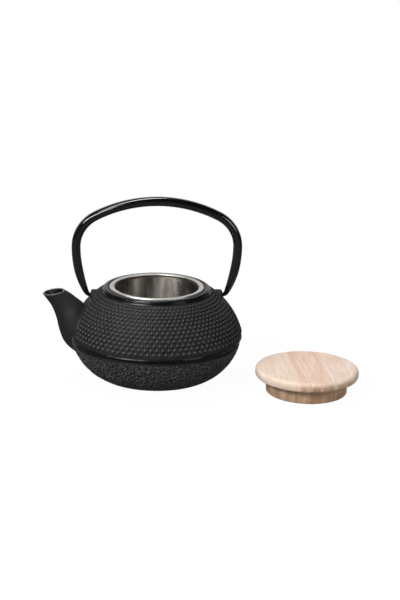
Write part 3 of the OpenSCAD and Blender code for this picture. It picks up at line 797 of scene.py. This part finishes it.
def raise_studs(number, stagger):
    """Raises every second vertex of one row, clear of the spout's window and of the ears."""
    radius_here = outline[number][0]
    radius = 2 * math.pi * radius_here / COLUMNS * STUD_SHARE
    height = STUD_HEIGHT * radius_here / SKIN_R
    side = window_side(number) + WINDOW_GAP if number in WINDOW_ROWS else 0
    on_row = [v for v in pot.verts if v[row] == number and abs(column(v)) >= side
              and abs(math.hypot(v.co.x, v.co.y) - radius_here) < ON_ROW]
    # Studs' feet and low flanks are painted dark as painted shade, their tips light as wear and painted
    # highlight
    for vert in on_row:
        vert[tone_and_painted_light] = GAP
    tops = [v for v in on_row if round(column(v)) % 2 == stagger and not under_ear(v.co)]
    made = bmesh.ops.bevel(pot, geom=tops, offset=radius, offset_type="OFFSET", affect="VERTICES",
                           segments=1, profile=0.5, material=-1, clamp_overlap=True)
    feet = [f for f in made["faces"] if f.is_valid]
    corners = {v for f in feet for v in f.verts}
    bmesh.ops.subdivide_edges(pot, edges=list({e for f in feet for e in f.edges}), cuts=1)
    for foot in feet:
        centre = foot.calc_center_median()
        for vert in foot.verts:
            vert[tone_and_painted_light] = STUD_FOOT
            if vert not in corners:
                vert.co = centre + (vert.co - centre) * math.sqrt(2)
    for inset, lift, level in DOME:
        bmesh.ops.inset_individual(pot, faces=feet, thickness=inset * radius, depth=lift * height)
        for vert in {v for f in feet for v in f.verts}:
            vert[tone_and_painted_light] = level
    for vert in bmesh.ops.poke(pot, faces=feet, offset=TIP * height)["verts"]:
        vert[tone_and_painted_light] = STUD_TIP
    return len(feet)


first = rows_of["shoulder"][0] + 1
count = sum(raise_studs(first + j, j % 2) for j in range(STUD_ROWS))
print("studs:", count)

# %% [markdown]
# ## Grain on the bowl
# Below the belt the iron keeps the coarse grain of its sand mould, like small pebbles. Each vertex of the
# bowl moves along its normal by its distance from the nearest grain, with a slower noise over it. The
# grain fades out towards the belt and the foot. A bump map alone would be quicker, but it would leave the
# bowl's outline smooth.

# %% Press the grain into the bowl
GRAIN_SIZE, GRAIN_DEPTH = 2.1, 1.1
GRAIN_LEVEL = 0.4                           # grains from a grain's middle to where it crosses the skin
SLOW_SIZE, SLOW_SHARE = 2.5 * GRAIN_SIZE, 0.12
GRAIN_TOP = 34.5                            # height at which the grain has faded out under the belt
FADE_LOW, FADE_HIGH = 6.0, 2.0              # heights over which it fades, above the foot and below the belt
NEAR_SKIN = 1.0                             # vertices further from the skin belong to the spout's root
pot.normal_update()
for vert in pot.verts:
    if vert[row] in bowl_rows and not vert.is_boundary and abs(height_over_skin(vert.co)) < NEAR_SKIN:
        fade = min(1, (vert.co.z - BOWL_TURN[1]) / FADE_LOW, (GRAIN_TOP - vert.co.z) / FADE_HIGH)
        nearest = noise.voronoi(vert.co / GRAIN_SIZE)[0][0]
        slow = noise.noise(vert.co / SLOW_SIZE)
        lift = GRAIN_LEVEL - nearest + SLOW_SHARE * slow
        # Grain tone: pits painted darker as painted shade, tops lighter as grain tone and painted glints
        vert[tone_and_painted_light] = min(max(0.5 + lift, 0), 1)
        vert.co += vert.normal * GRAIN_DEPTH * max(fade, 0) * lift
bmesh.ops.recalc_face_normals(pot, faces=pot.faces)
make_piece("pot_casting", pot, [studded_iron, bowl_iron, rim_iron, inner_enamel], "pot",
           ["pot_body", "studs", "spout"])

# %% [markdown]
# ## The ears
# Two short barrels stand out of the shoulder and hold the handle's pins. Each grows along its axis from
# inside the wall to its rounded end, around the hole's edge, and down to the hole's bottom. Near the wall
# a ring widens, as a casting does where two forms meet. A Boolean could join the ears to the shell, but
# an overlap inside the wall looks the same and keeps both meshes clean.

# %% Grow the two ears
EAR_END, HOLE_R, HOLE_END = 58.0, 2.1, 53.2
EAR_SIDES = 40
FLARE_MOST = 1.5                            # a cap on the widening, inside the wall
BARREL = [(along, EAR_R) for along in (47.0, 49.0, 50.5, 52.0, 53.5, 55.0, 56.0)]
EAR_NOSE = [(56.8, 4.6), (57.5, 4.0), (57.9, 3.3), (EAR_END, 2.8)]
EAR_HOLE = [(EAR_END, HOLE_R + 0.3), (EAR_END - 0.3, HOLE_R), (HOLE_END, HOLE_R)]
EAR_RINGS = BARREL + EAR_NOSE + EAR_HOLE


def ear_ring(side, along, radius):
    """One ring of an ear: round above its axis, deeper below it, and wider near the wall."""
    in_hole = (along, radius) in EAR_HOLE

    def place(angle):
        depth = radius if in_hole or math.cos(angle) >= 0 else EAR_DEPTH
        spot = Vector((side * along, radius * math.sin(angle), HINGE_Z + depth * math.cos(angle)))
        if not in_hole:
            closeness = min(max(1 - height_over_skin(spot) / EAR_FLARE, 0), FLARE_MOST)
            spot.y += math.sin(angle) * EAR_FLARE / 2 * closeness ** 2
        return spot
    return place


ears = bmesh.new()
for side in (-1, 1):
    one_ear = bmesh.new()
    ring = start_ring(one_ear, EAR_SIDES, ear_ring(side, *EAR_RINGS[0]))
    bmesh.ops.edgeloop_fill(one_ear, edges=ring)
    last = grow_rings(one_ear, ring, [ear_ring(side, *spot) for spot in EAR_RINGS[1:]])
    bmesh.ops.edgeloop_fill(one_ear, edges=last)
    bmesh.ops.recalc_face_normals(one_ear, faces=one_ear.faces)
    ear_mesh = bpy.data.meshes.new("one_ear")
    one_ear.to_mesh(ear_mesh)
    one_ear.free()
    ears.from_mesh(ear_mesh)
    bpy.data.meshes.remove(ear_mesh)
plain = ears.verts.layers.float.new("tone_and_painted_light")
for vert in ears.verts:
    vert[plain] = SMOOTH
make_piece("hinge_ears", ears, [studded_iron], "pot")

# %% [markdown]
# ## The bail handle
# The bail is one iron bar, forged to a long crown, two tight corners and two arms that taper to hooks.
# Its middle line is the frame's: arcs that run into each other, then a short curve into each pin. A ring
# with rounded square sides grows along that line and takes its thickness and width from its height. A
# bevelled curve would do for an even bar, but this one changes its section on the way, from squarish to
# round.

# %% The bail's middle line
bail_low, bail_high = (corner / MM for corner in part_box("bail_handle"))
GRIP_T, GRIP_W, ARM_T, ARM_W, PIN_D = 7.8, bail_high.y - bail_low.y, 4.7, 6.4, 3.4
CROWN_R, CORNER_R, TAPER_H = 117.0, 30.8, 24.0
HOOK_OUT, HOOK_RISE, HOOK_GAP, HOOK_SLOPE, HOOK_PULL = 4.2, 3.7, 0.7, 25, 2.1
PIN_TIP, PIN_EDGE = 53.6, 0.3               # where the pin ends, and the bevel of its end

bail_top = bail_high.z - GRIP_T / 2
arm_x = bail_high.x - GRIP_T / 2
crown_z = bail_top - CROWN_R
corner_x = arm_x - CORNER_R
corner_z = crown_z + math.sqrt((CROWN_R - CORNER_R) ** 2 - corner_x ** 2)
corner_turn = math.degrees(math.atan2(corner_x, corner_z - crown_z))
foot_x, foot_z = EAR_END + HOOK_OUT, HINGE_Z + HOOK_RISE
arm_r = ((arm_x - foot_x) ** 2 + (corner_z - foot_z) ** 2) / (2 * (arm_x - foot_x))
arm_turn = math.degrees(math.asin((corner_z - foot_z) / arm_r))


def hook_curve(steps_along):
    """The hook's curve, from the arm's foot to the pin."""
    lean, slope = math.radians(arm_turn), math.radians(HOOK_SLOPE)
    top, end = Vector((foot_x, foot_z)), Vector((EAR_END + HOOK_GAP, HINGE_Z))
    pulls = (top, top - HOOK_PULL * Vector((math.sin(lean), math.cos(lean))),
             end + HOOK_PULL * Vector((math.cos(slope), math.sin(slope))), end)

    def at(u):
        weights = ((1 - u) ** 3, 3 * u * (1 - u) ** 2, 3 * u * u * (1 - u), u ** 3)
        return tuple(sum((w * p for w, p in zip(weights, pulls)), Vector((0, 0))))

    return [at(u) for u in steps(steps_along)]


CROWN_STEPS, CORNER_STEPS, ARM_STEPS, HOOK_STEPS = 22, 14, 16, 10
pin_line = [(along, HINGE_Z) for along in (EAR_END - 0.6, PIN_TIP + PIN_EDGE, PIN_TIP)]
half_line = (arc((0, crown_z), CROWN_R, 90, 90 - corner_turn, CROWN_STEPS)
             + arc((corner_x, corner_z), CORNER_R, 90 - corner_turn, 0, CORNER_STEPS)[1:]
             + arc((arm_x - arm_r, corner_z), arm_r, 0, -arm_turn, ARM_STEPS)[1:]
             + hook_curve(HOOK_STEPS) + pin_line)
bail_line = [Vector((-x, z)) for x, z in reversed(half_line[1:])] + [Vector(p) for p in half_line]
print("bail: middle line of", len(bail_line), "points")

# %% Grow the bail
GRIP_SIDES = 48
GRIP_SQUARE, ROUND = 2.6, 2                 # powers of the outline: squarish on the bar, round on the pins
ROUND_BELOW = PIN_D / 2 + 0.2               # half a thickness under which the bar counts as a pin


def bail_size(spot, at_tip):
    """Half the bar's thickness and width at a point of the middle line."""
    if at_tip:
        return PIN_D / 2 - PIN_EDGE, PIN_D / 2 - PIN_EDGE
    if spot.y > foot_z:
        arm_u = min(1, (spot.y - foot_z) / TAPER_H)
        ease = arm_u * (2 - arm_u)
        return (ARM_T + (GRIP_T - ARM_T) * ease) / 2, (ARM_W + (GRIP_W - ARM_W) * ease) / 2
    hook_u = min(1, max(0, (spot.y - HINGE_Z) / HOOK_RISE))
    return (PIN_D + (ARM_T - PIN_D) * hook_u) / 2, (PIN_D + (ARM_W - PIN_D) * hook_u) / 2


def bail_ring(number):
    """The ring at one point of the middle line, square to it."""
    spot = bail_line[number]
    ahead = bail_line[min(number + 1, len(bail_line) - 1)] - bail_line[max(number - 1, 0)]
    out = Vector((-ahead.y, ahead.x)).normalized()
    thick, wide = bail_size(spot, number in (0, len(bail_line) - 1))
    roundness = 2 / (GRIP_SQUARE if thick > ROUND_BELOW else ROUND)

    def place(angle):
        across = math.copysign(abs(math.cos(angle)) ** roundness, math.cos(angle))
        along_y = math.copysign(abs(math.sin(angle)) ** roundness, math.sin(angle))
        return Vector((spot.x + out.x * thick * across, -wide * along_y, spot.y + out.y * thick * across))
    return place


bail = bmesh.new()
ring = start_ring(bail, GRIP_SIDES, bail_ring(0))
bmesh.ops.edgeloop_fill(bail, edges=ring)
last = grow_rings(bail, ring, [bail_ring(i) for i in range(1, len(bail_line))])
bmesh.ops.edgeloop_fill(bail, edges=last)
bmesh.ops.recalc_face_normals(bail, faces=bail.faces)
make_piece("bail_bar", bail, [handle_iron], "bail", ["bail_handle"])

# %% [markdown]
# ## Steel
# The infuser's ring is pressed from bright sheet and its wall is fine woven mesh. Both are seen unrolled
# around the pot's axis: one node group turns a place into its run around the axis, its height and its
# distance from the axis. Lines that are long around the axis make the brushed sheet, and two crossed sets
# of wires make the mesh: real wires would take millions of faces. The ring's inside below the flange is
# dark brown, and dark and light streaks run down the sleeve, partly tea stains and partly painted
# reflections.

# %% Node group: unrolled around the axis
def build_unrolled():
    """A place as its run around the axis, at one radius, its height and its distance from the axis."""
    group, given, result = new_group("unrolled", [("Place", VECTOR, None), ("Radius", FLOAT, 0.037)],
                                     [("Around", FLOAT), ("Height", FLOAT), ("Distance", FLOAT)])
    part = add(group, "ShaderNodeSeparateXYZ", {0: given["Place"]}).outputs
    angle = math_node(group, "ARCTAN2", part["Y"], part["X"])
    across = math_node(group, "POWER", part["X"], 2.0)
    deep = math_node(group, "POWER", part["Y"], 2.0)
    group.links.new(math_node(group, "MULTIPLY", angle, given["Radius"]), result["Around"])
    group.links.new(part["Z"], result["Height"])
    group.links.new(math_node(group, "SQRT", math_node(group, "ADD", across, deep)), result["Distance"])
    return group


unrolled = build_unrolled()
print("node group:", unrolled.name)

# %% Node group: woven wire
CROSSING = 0.25                             # how much higher a wire lies where it crosses over the other
HOLE_EDGE = (0.45, 0.7)                     # from the wires' sides to the open hole


def build_weave():
    """Plain weave of two wires: its height, and a mask of the holes."""
    group, given, result = new_group(
        "weave", [("Across", FLOAT, 0.0), ("Up", FLOAT, 0.0), ("Pitch", FLOAT, 0.0008)],
        [("Relief", FLOAT), ("Hole", FLOAT)])
    waves = []
    for name in ("Across", "Up"):
        turns = math_node(group, "DIVIDE", given[name], given["Pitch"])
        waves.append(math_node(group, "SINE", math_node(group, "MULTIPLY", turns, math.pi)))
    gaps = [math_node(group, "ABSOLUTE", wave) for wave in waves]
    over = math_node(group, "MULTIPLY", waves[0], waves[1])
    nearest = math_node(group, "MINIMUM", *gaps)
    wire = math_node(group, "SUBTRACT", 1.0, gaps[1])
    group.links.new(math_node(group, "MULTIPLY_ADD", over, CROSSING, wire), result["Relief"])
    group.links.new(remap(group, nearest, *HOLE_EDGE), result["Hole"])
    return group


weave = build_weave()
print("node group:", weave.name)

# %% Brushed steel
DARK_INSIDE_HEIGHTS = (82.6, 81.9)                # heights, and distances from the axis, between which
DARK_INSIDE_DISTANCES = (38.3, 37.9)              # the ring's inside turns dark brown, in millimetres
STEEL_DULL, STEEL_BRIGHT = (0.74, 0.73, 0.70, 1), (0.88, 0.87, 0.84, 1)
# colour of the ring's inside below the flange, painted dark brown
STEEL_INSIDE_DARK = (0.22, 0.18, 0.15, 1)
BRUSH_SCALE, BRUSH_STRETCH, SMUDGE_SCALE = 5000.0, 0.02, 60.0
BRUSH_SHARE = 0.6                           # of the brush lines in the tone, against the smudges
BRUSH_DEPTH = 0.01                          # millimetres
STEEL_ROUGH = (0.34, 0.46)                  # roughness of the dull and the bright places


def brushed_steel():
    """Bright sheet with fine lines around the axis, smudges, and its inside below the flange dark brown."""
    material, tree, shader, place = new_material("brushed_steel", Metallic=1.0)
    flat = use_group(tree, unrolled, {"Place": place})
    along = math_node(tree, "MULTIPLY", flat["Around"], BRUSH_STRETCH)
    lines = add(tree, "ShaderNodeCombineXYZ", {0: flat["Distance"], 1: flat["Height"], 2: along}).outputs[0]
    brush = add(tree, "ShaderNodeTexNoise", {"Vector": lines, "Scale": BRUSH_SCALE, "Detail": 3.0}).outputs[0]
    smudge = add(tree, "ShaderNodeTexNoise", {"Vector": place, "Scale": SMUDGE_SCALE, "Detail": 2.0})
    tone = mix_values(tree, brush, BRUSH_SHARE, smudge.outputs[0])
    clean = blend_colours(tree, remap(tree, tone, *NOISE_RANGE), STEEL_DULL, STEEL_BRIGHT)
    below = remap(tree, flat["Height"], *(z * MM for z in DARK_INSIDE_HEIGHTS))
    inside = remap(tree, flat["Distance"], *(r * MM for r in DARK_INSIDE_DISTANCES))
    # the ring's inside below the flange is painted dark brown
    dark_inside = math_node(tree, "MULTIPLY", below, inside)
    tree.links.new(blend_colours(tree, dark_inside, clean, STEEL_INSIDE_DARK), shader.inputs["Base Color"])
    tree.links.new(remap(tree, tone, *NOISE_RANGE, *STEEL_ROUGH), shader.inputs["Roughness"])
    lift = add(tree, "ShaderNodeBump", {"Strength": 0.5, "Distance": BRUSH_DEPTH * MM, "Height": brush})
    tree.links.new(lift.outputs[0], shader.inputs["Normal"])
    return material


pressed_steel = brushed_steel()
print("finish:", pressed_steel.name)

# %% Woven steel
WIRE_PITCH, WIRE_RELIEF = 0.8, 0.12         # millimetres
WIRE_LEVELS, MESH_ROUGH = (0.2, 1.0), (0.42, 0.24)   # roughness, from the low places to the wires' tops
# Streaks down the sleeve: partly tea stains, partly painted reflections
MESH_STREAK_DARK, MESH_STREAK_LIGHT = (0.21, 0.175, 0.15, 1), (0.56, 0.53, 0.49, 1)
MESH_HOLE = (0.03, 0.026, 0.023, 1)
STREAK_SCALE, STREAK_STRETCH = 110.0, 0.25
STREAK_RANGE = (0.38, 0.62)                 # noise values that become the dark and the light streaks
STREAK_SLICE = 0.05                         # which slice of the noise the streaks are cut from


def woven_steel(name, unroll):
    """Steel mesh, unrolled around the axis for the sleeve or flat for the disc."""
    material, tree, shader, place = new_material(name, Metallic=1.0)
    if unroll:
        flat = use_group(tree, unrolled, {"Place": place})
        across, up = flat["Around"], flat["Height"]
    else:
        part = add(tree, "ShaderNodeSeparateXYZ", {0: place}).outputs
        across, up = part["X"], part["Y"]
    wires = use_group(tree, weave, {"Across": across, "Up": up, "Pitch": WIRE_PITCH * MM})
    long = math_node(tree, "MULTIPLY", up, STREAK_STRETCH)
    spot = add(tree, "ShaderNodeCombineXYZ", {0: across, 1: long, 2: STREAK_SLICE}).outputs[0]
    streak = add(tree, "ShaderNodeTexNoise", {"Vector": spot, "Scale": STREAK_SCALE, "Detail": 3.0})
    # dark and light streaks: partly tea stain, partly painted reflection
    steel = blend_colours(tree, remap(tree, streak.outputs[0], *STREAK_RANGE), MESH_STREAK_DARK, MESH_STREAK_LIGHT)
    tree.links.new(blend_colours(tree, wires["Hole"], steel, MESH_HOLE), shader.inputs["Base Color"])
    tree.links.new(remap(tree, wires["Relief"], *WIRE_LEVELS, *MESH_ROUGH), shader.inputs["Roughness"])
    lift = add(tree, "ShaderNodeBump",
               {"Strength": 1.0, "Distance": WIRE_RELIEF * MM, "Height": wires["Relief"]})
    tree.links.new(lift.outputs[0], shader.inputs["Normal"])
    return material


sleeve_mesh = woven_steel("sleeve_mesh", unroll=True)
disc_mesh = woven_steel("disc_mesh", unroll=False)
print("mesh finishes:", [m.name for m in (sleeve_mesh, disc_mesh)])

# %% [markdown]
# ## The infuser
# The basket is four turned pieces: a pressed ring that hangs in the mouth, a mesh sleeve, a mesh disc and
# a hoop that holds them together. Each is spun from its outline. The ring's edges are rolled, so its
# outline has small arcs there, and the bead inside it is a half round.

# %% Sizes of the infuser, in millimetres
ring_low, ring_high = (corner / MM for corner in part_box("infuser_rim"))
sleeve_low, sleeve_high = (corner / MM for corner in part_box("infuser_wall"))
disc_low, disc_high = (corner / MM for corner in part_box("infuser_base"))
hoop_low, hoop_high = (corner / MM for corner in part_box("infuser_hoop"))
FLANGE_IN, FLANGE_T, HEM_T, SKIRT_T, SKIRT_BACK = 37.3, 1.2, 1.2, 0.7, 0.4
HEM_SETBACK, DISH = 1.0, 0.3                # the hem's gap to the rim, and the flange's dip at its inside
INNER_ROLL, OUTER_ROLL = 0.5, 0.9           # radii of the flange's rolled edges
BEAD_LOW, BEAD_HIGH, BEAD_REACH = 80.4, 81.3, 1.0
SPIN = 160
flange_r, flange_z = ring_high.x - HEM_SETBACK, ring_high.z
under_z = flange_z - FLANGE_T
skirt_in = FLANGE_IN + SKIRT_BACK
skirt_out = skirt_in + SKIRT_T
hem_in = flange_r - HEM_T
bead_side, bead_z = skirt_in - BEAD_REACH * 0.8, (BEAD_LOW + BEAD_HIGH) / 2
print("flange:", round(FLANGE_IN, 1), "to", round(flange_r, 1), "mm from the axis")

# %% Spin the ring and the sleeve
def spin_piece(name, outline_points, material, node):
    """A closed outline spun to a piece of the infuser."""
    bm = bmesh.new()
    spin_outline(bm, outline_points, SPIN, closed=True)
    make_piece(name, bm, [material], "infuser", [node])


inner_edge = arc((FLANGE_IN + INNER_ROLL, flange_z - INNER_ROLL - DISH), INNER_ROLL, 90, 270, 8)
bead = [(skirt_in, BEAD_HIGH), (bead_side, BEAD_HIGH - 0.15), (skirt_in - BEAD_REACH, bead_z),
        (bead_side, BEAD_LOW + 0.15), (skirt_in, BEAD_LOW)]
skirt = [(skirt_in, ring_low.z), (skirt_out, ring_low.z), (skirt_out, under_z - 0.4),
         (skirt_out + 0.4, under_z)]
hem = [(hem_in - 0.3, under_z), (hem_in, under_z - 0.3), (hem_in, SEAT_Z + 0.1), (hem_in + 0.3, SEAT_Z),
       (flange_r - 0.3, SEAT_Z)]
outer_edge = arc((flange_r - OUTER_ROLL, flange_z - OUTER_ROLL), OUTER_ROLL, -10, 90, 8)
ring_outline = inner_edge + [(skirt_in, under_z - 0.1)] + bead + skirt + hem + outer_edge
spin_piece("infuser_ring", ring_outline, pressed_steel, "infuser_rim")

MESH_T, SLEEVE_ROWS = 0.6, 12
sleeve_h = sleeve_high.z - sleeve_low.z
sleeve_z = [sleeve_low.z + sleeve_h * i / SLEEVE_ROWS for i in range(SLEEVE_ROWS + 1)]
sleeve_out = [(sleeve_high.x, z) for z in sleeve_z]
sleeve_in = [(sleeve_high.x - MESH_T, z) for z in reversed(sleeve_z)]
spin_piece("infuser_sleeve", sleeve_out + sleeve_in, sleeve_mesh, "infuser_wall")

# %% Spin the disc and the hoop
disc = bmesh.new()
spin_outline(disc, [(0, disc_low.z), (disc_high.x, disc_low.z), (disc_high.x, disc_high.z),
                    (disc_high.x * 0.6, disc_high.z), (0, disc_high.z)], SPIN)
make_piece("infuser_disc", disc, [disc_mesh], "infuser", ["infuser_base"])

HOOP_T, HOOP_LEDGE, HOOP_ROUND = 0.6, 3.2, 0.5
band_in = hoop_high.x - HOOP_T
ledge_in = band_in - HOOP_LEDGE
hoop_outline = ([(ledge_in, hoop_low.z)]
                + arc((hoop_high.x - HOOP_ROUND, hoop_low.z + HOOP_ROUND), HOOP_ROUND, -90, 0, 4)
                + arc((hoop_high.x - HOOP_T / 2, hoop_high.z - HOOP_T / 2), HOOP_T / 2, 0, 180, 6)
                + [(band_in, hoop_low.z + HOOP_T), (ledge_in, hoop_low.z + HOOP_T)])
spin_piece("infuser_band", hoop_outline, pressed_steel, "infuser_hoop")

# %% [markdown]
# ## Wood
# The lid is turned from three strips of pale hardwood, glued side by side, so each strip has its own tone
# and its own figure. The figure is solid: it is worked out in the lid's own directions, long along the
# grain, so that it runs over the top, around the edge and into the plug as it does in real wood. Where
# the fibres are cut across, at the front and back of the edge, brown streaks of end grain show. The plug
# is painted brown all round, partly as end grain and partly as painted shade under the disc.

# %% Sizes of the lid, in millimetres
LID_PLACE, LID_TURN = Vector((130.3, -40.0, 0.0)), 1.2
LID_R, LID_T, LID_ROUND, LID_UNDER = 45.1, 8.3, 3.8, 2.6
PLUG_R, PLUG_H, PLUG_ROUND = 35.4, 13.5, 1.0
GLUE_LINES = (-12.2, 15.8)                  # across the lid, from its middle
lid_top = PLUG_H + LID_T
print("lid:", round(2 * LID_R, 1), "mm across,", round(lid_top, 1), "mm high")

# %% Node group: wood figure
def build_wood_figure():
    """Bands, growth lines and pores, long along Y, and end grain, from a place in the lid's own frame."""
    group, given, result = new_group("wood_figure", [("Place", VECTOR, None), ("Shift", FLOAT, 0.0)],
                                     [("Band", FLOAT), ("Line", FLOAT), ("Pore", FLOAT), ("End", FLOAT)])
    shift = add(group, "ShaderNodeCombineXYZ", {0: given["Shift"], 1: given["Shift"], 2: given["Shift"]})
    moved = add(group, "ShaderNodeVectorMath", {0: given["Place"], 1: shift.outputs[0]}, operation="ADD")

    def grain_noise(scale, stretch, detail, upright=0.7):
        """Noise that is drawn out along the grain, and less so upright."""
        sizes = (1.0, stretch, upright)
        long = add(group, "ShaderNodeMapping", {"Vector": moved.outputs[0], "Scale": sizes}).outputs[0]
        return add(group, "ShaderNodeTexNoise",
                   {"Vector": long, "Scale": scale, "Detail": detail, "Distortion": 0.3}).outputs[0]

    group.links.new(remap(group, grain_noise(110.0, 0.12, 2.0), 0.34, 0.66), result["Band"])
    group.links.new(remap(group, grain_noise(420.0, 0.06, 3.0), 0.38, 0.62), result["Line"])
    group.links.new(remap(group, grain_noise(1500.0, 0.06, 2.0), 0.55, 0.70), result["Pore"])
    group.links.new(remap(group, grain_noise(330.0, 0.05, 3.0, upright=0.12), 0.36, 0.64), result["End"])
    return group


wood_figure = build_wood_figure()
print("node group:", wood_figure.name)

# %% Wood finishes
END_GRAIN_AND_SHADE = (0.35, 0.205, 0.108)            # colour of the wood where its fibres are cut across, and the plug's painted shade
EDGE_HEIGHTS = (lid_top - 1.5, lid_top - 5.0)   # heights between which the edge turns to end grain
END_FACING = (0.4 * LID_R, 0.8 * LID_R)     # and distances along the grain from the lid's middle
PLUG_HEIGHTS = (PLUG_H + 0.2, PLUG_H - 0.2)   # heights between which the disc turns to the plug's brown, end grain and painted shade
PLUG_SHARE = 0.95                           # how far the plug turns to it
EDGE_LEAST, PLUG_LEAST = 0.2, 0.6           # shares of the brown between the streaks, on edge and plug
LINE_SHARE, PORE_SHARE = 0.7, 0.3           # how strong the growth lines and the pores are
WOOD_ROUGH = (0.5, 0.62)                    # roughness between the growth lines and on them
FIGURE_DEPTH = 0.04                         # depth of the pores, in millimetres
RIDGE_SHARE = 0.3                           # height of the growth lines, as a share of that depth


def wood_finish(name, pale, deep, streak, shift, edge_share):
    """One strip's wood: pale ground, deeper bands, lines, pores, end grain on the edge, and the plug painted
    brown as end grain and painted shade.
    """
    material, tree, shader, place = new_material(name, Specular_IOR_Level=0.2)
    lid_frame = {"Vector": place, "Location": LID_PLACE * MM, "Rotation": (0, 0, math.radians(LID_TURN))}
    own = add(tree, "ShaderNodeMapping", lid_frame, vector_type="TEXTURE").outputs[0]
    figure = use_group(tree, wood_figure, {"Place": own, "Shift": shift})
    ground = blend_colours(tree, figure["Band"], (*pale, 1), (*deep, 1))
    lines = math_node(tree, "MULTIPLY", figure["Line"], LINE_SHARE)
    pores = math_node(tree, "MULTIPLY", figure["Pore"], PORE_SHARE)
    lined = blend_colours(tree, lines, ground, (*streak, 1))
    pored = blend_colours(tree, pores, lined, (*END_GRAIN_AND_SHADE, 1))
    part = add(tree, "ShaderNodeSeparateXYZ", {0: own}).outputs
    facing = remap(tree, math_node(tree, "ABSOLUTE", part["Y"]), *(y * MM for y in END_FACING))
    low_edge = remap(tree, part["Z"], *(z * MM for z in EDGE_HEIGHTS), 0, edge_share)
    streaks = math_node(tree, "MULTIPLY", facing, remap(tree, figure["End"], 0, 1, EDGE_LEAST, 1))
    # The plug is painted brown all round: partly end grain, partly painted shade under the disc
    plug = remap(tree, part["Z"], *(z * MM for z in PLUG_HEIGHTS), 0, PLUG_SHARE)
    plug_brown = math_node(tree, "MULTIPLY", plug, remap(tree, figure["End"], 0, 1, PLUG_LEAST, 1))
    brown_share = math_node(tree, "MAXIMUM", math_node(tree, "MULTIPLY", low_edge, streaks), plug_brown)
    tree.links.new(blend_colours(tree, brown_share, pored, (*END_GRAIN_AND_SHADE, 1)), shader.inputs["Base Color"])
    tree.links.new(remap(tree, figure["Line"], 0, 1, *WOOD_ROUGH), shader.inputs["Roughness"])
    ridges = math_node(tree, "MULTIPLY", figure["Line"], RIDGE_SHARE)
    relief = math_node(tree, "SUBTRACT", ridges, figure["Pore"])
    lift = add(tree, "ShaderNodeBump", {"Strength": 0.6, "Distance": FIGURE_DEPTH * MM, "Height": relief})
    tree.links.new(lift.outputs[0], shader.inputs["Normal"])
    return material


pale_wood = wood_finish("pale_strip", (0.755, 0.640, 0.540), (0.725, 0.570, 0.455), (0.700, 0.515, 0.415),
                        shift=0.0, edge_share=0.15)
pink_wood = wood_finish("pink_strip", (0.790, 0.625, 0.515), (0.715, 0.520, 0.412), (0.630, 0.430, 0.332),
                        shift=0.31, edge_share=1.0)
grey_wood = wood_finish("grey_strip", (0.790, 0.680, 0.582), (0.735, 0.570, 0.470), (0.655, 0.500, 0.410),
                        shift=0.77, edge_share=1.0)
print("wood finishes:", [m.name for m in (pale_wood, pink_wood, grey_wood)])

# %% [markdown]
# ## The lid
# The lid stands beside the pot on its plug. Its outline is spun once for each strip, and two cuts along
# the glue lines leave that strip. The cut faces are closed, so that every strip is a solid of its own.

# %% Turn the lid and cut it into its strips
LID_SPIN = 192
LID_SHARP = 40                              # degrees from which an edge of the lid stays sharp
lid_outline = ([(0, 0), (PLUG_R / 2, 0)]
               + arc((PLUG_R - PLUG_ROUND, PLUG_ROUND), PLUG_ROUND, -90, 0, 5)
               + [(PLUG_R, PLUG_H / 2), (PLUG_R, PLUG_H)]
               + arc((LID_R - LID_UNDER, PLUG_H + LID_UNDER), LID_UNDER, -90, 0, 5)
               + arc((LID_R - LID_ROUND, lid_top - LID_ROUND), LID_ROUND, 0, 90, 12)
               + [(LID_R / 2, lid_top), (0, lid_top)])


def cut_away(bm, at, keep_right):
    """Cuts a closed body at a plane across X, keeps one side of it and closes the cut."""
    parts = bm.verts[:] + bm.edges[:] + bm.faces[:]
    bmesh.ops.bisect_plane(bm, geom=parts, plane_co=(at, 0, 0), plane_no=(-1 if keep_right else 1, 0, 0),
                           clear_outer=True, dist=WELD)
    bmesh.ops.holes_fill(bm, edges=[e for e in bm.edges if e.is_boundary])


def lid_strip(name, left, right, material, slot, node):
    """One strip of the lid, between two glue lines or out to its edge."""
    bm = bmesh.new()
    spin_outline(bm, lid_outline, LID_SPIN)
    if left is not None:
        cut_away(bm, left, keep_right=True)
    if right is not None:
        cut_away(bm, right, keep_right=False)
    bmesh.ops.recalc_face_normals(bm, faces=bm.faces)
    lid_turn = Matrix.Rotation(math.radians(LID_TURN), 3, "Z")
    bmesh.ops.rotate(bm, verts=bm.verts, cent=(0, 0, 0), matrix=lid_turn)
    bmesh.ops.translate(bm, verts=bm.verts, vec=LID_PLACE)
    make_piece(name, bm, [material], "lid", [node], sharp_from=LID_SHARP)


lid_strip("lid_strip_left", None, GLUE_LINES[0], pale_wood, "pale_wood", "lid_stave_left")
lid_strip("lid_strip_middle", *GLUE_LINES, pink_wood, "pink_wood", "lid_stave_middle")
lid_strip("lid_strip_right", GLUE_LINES[1], None, grey_wood, "grey_wood", "lid_stave_right")
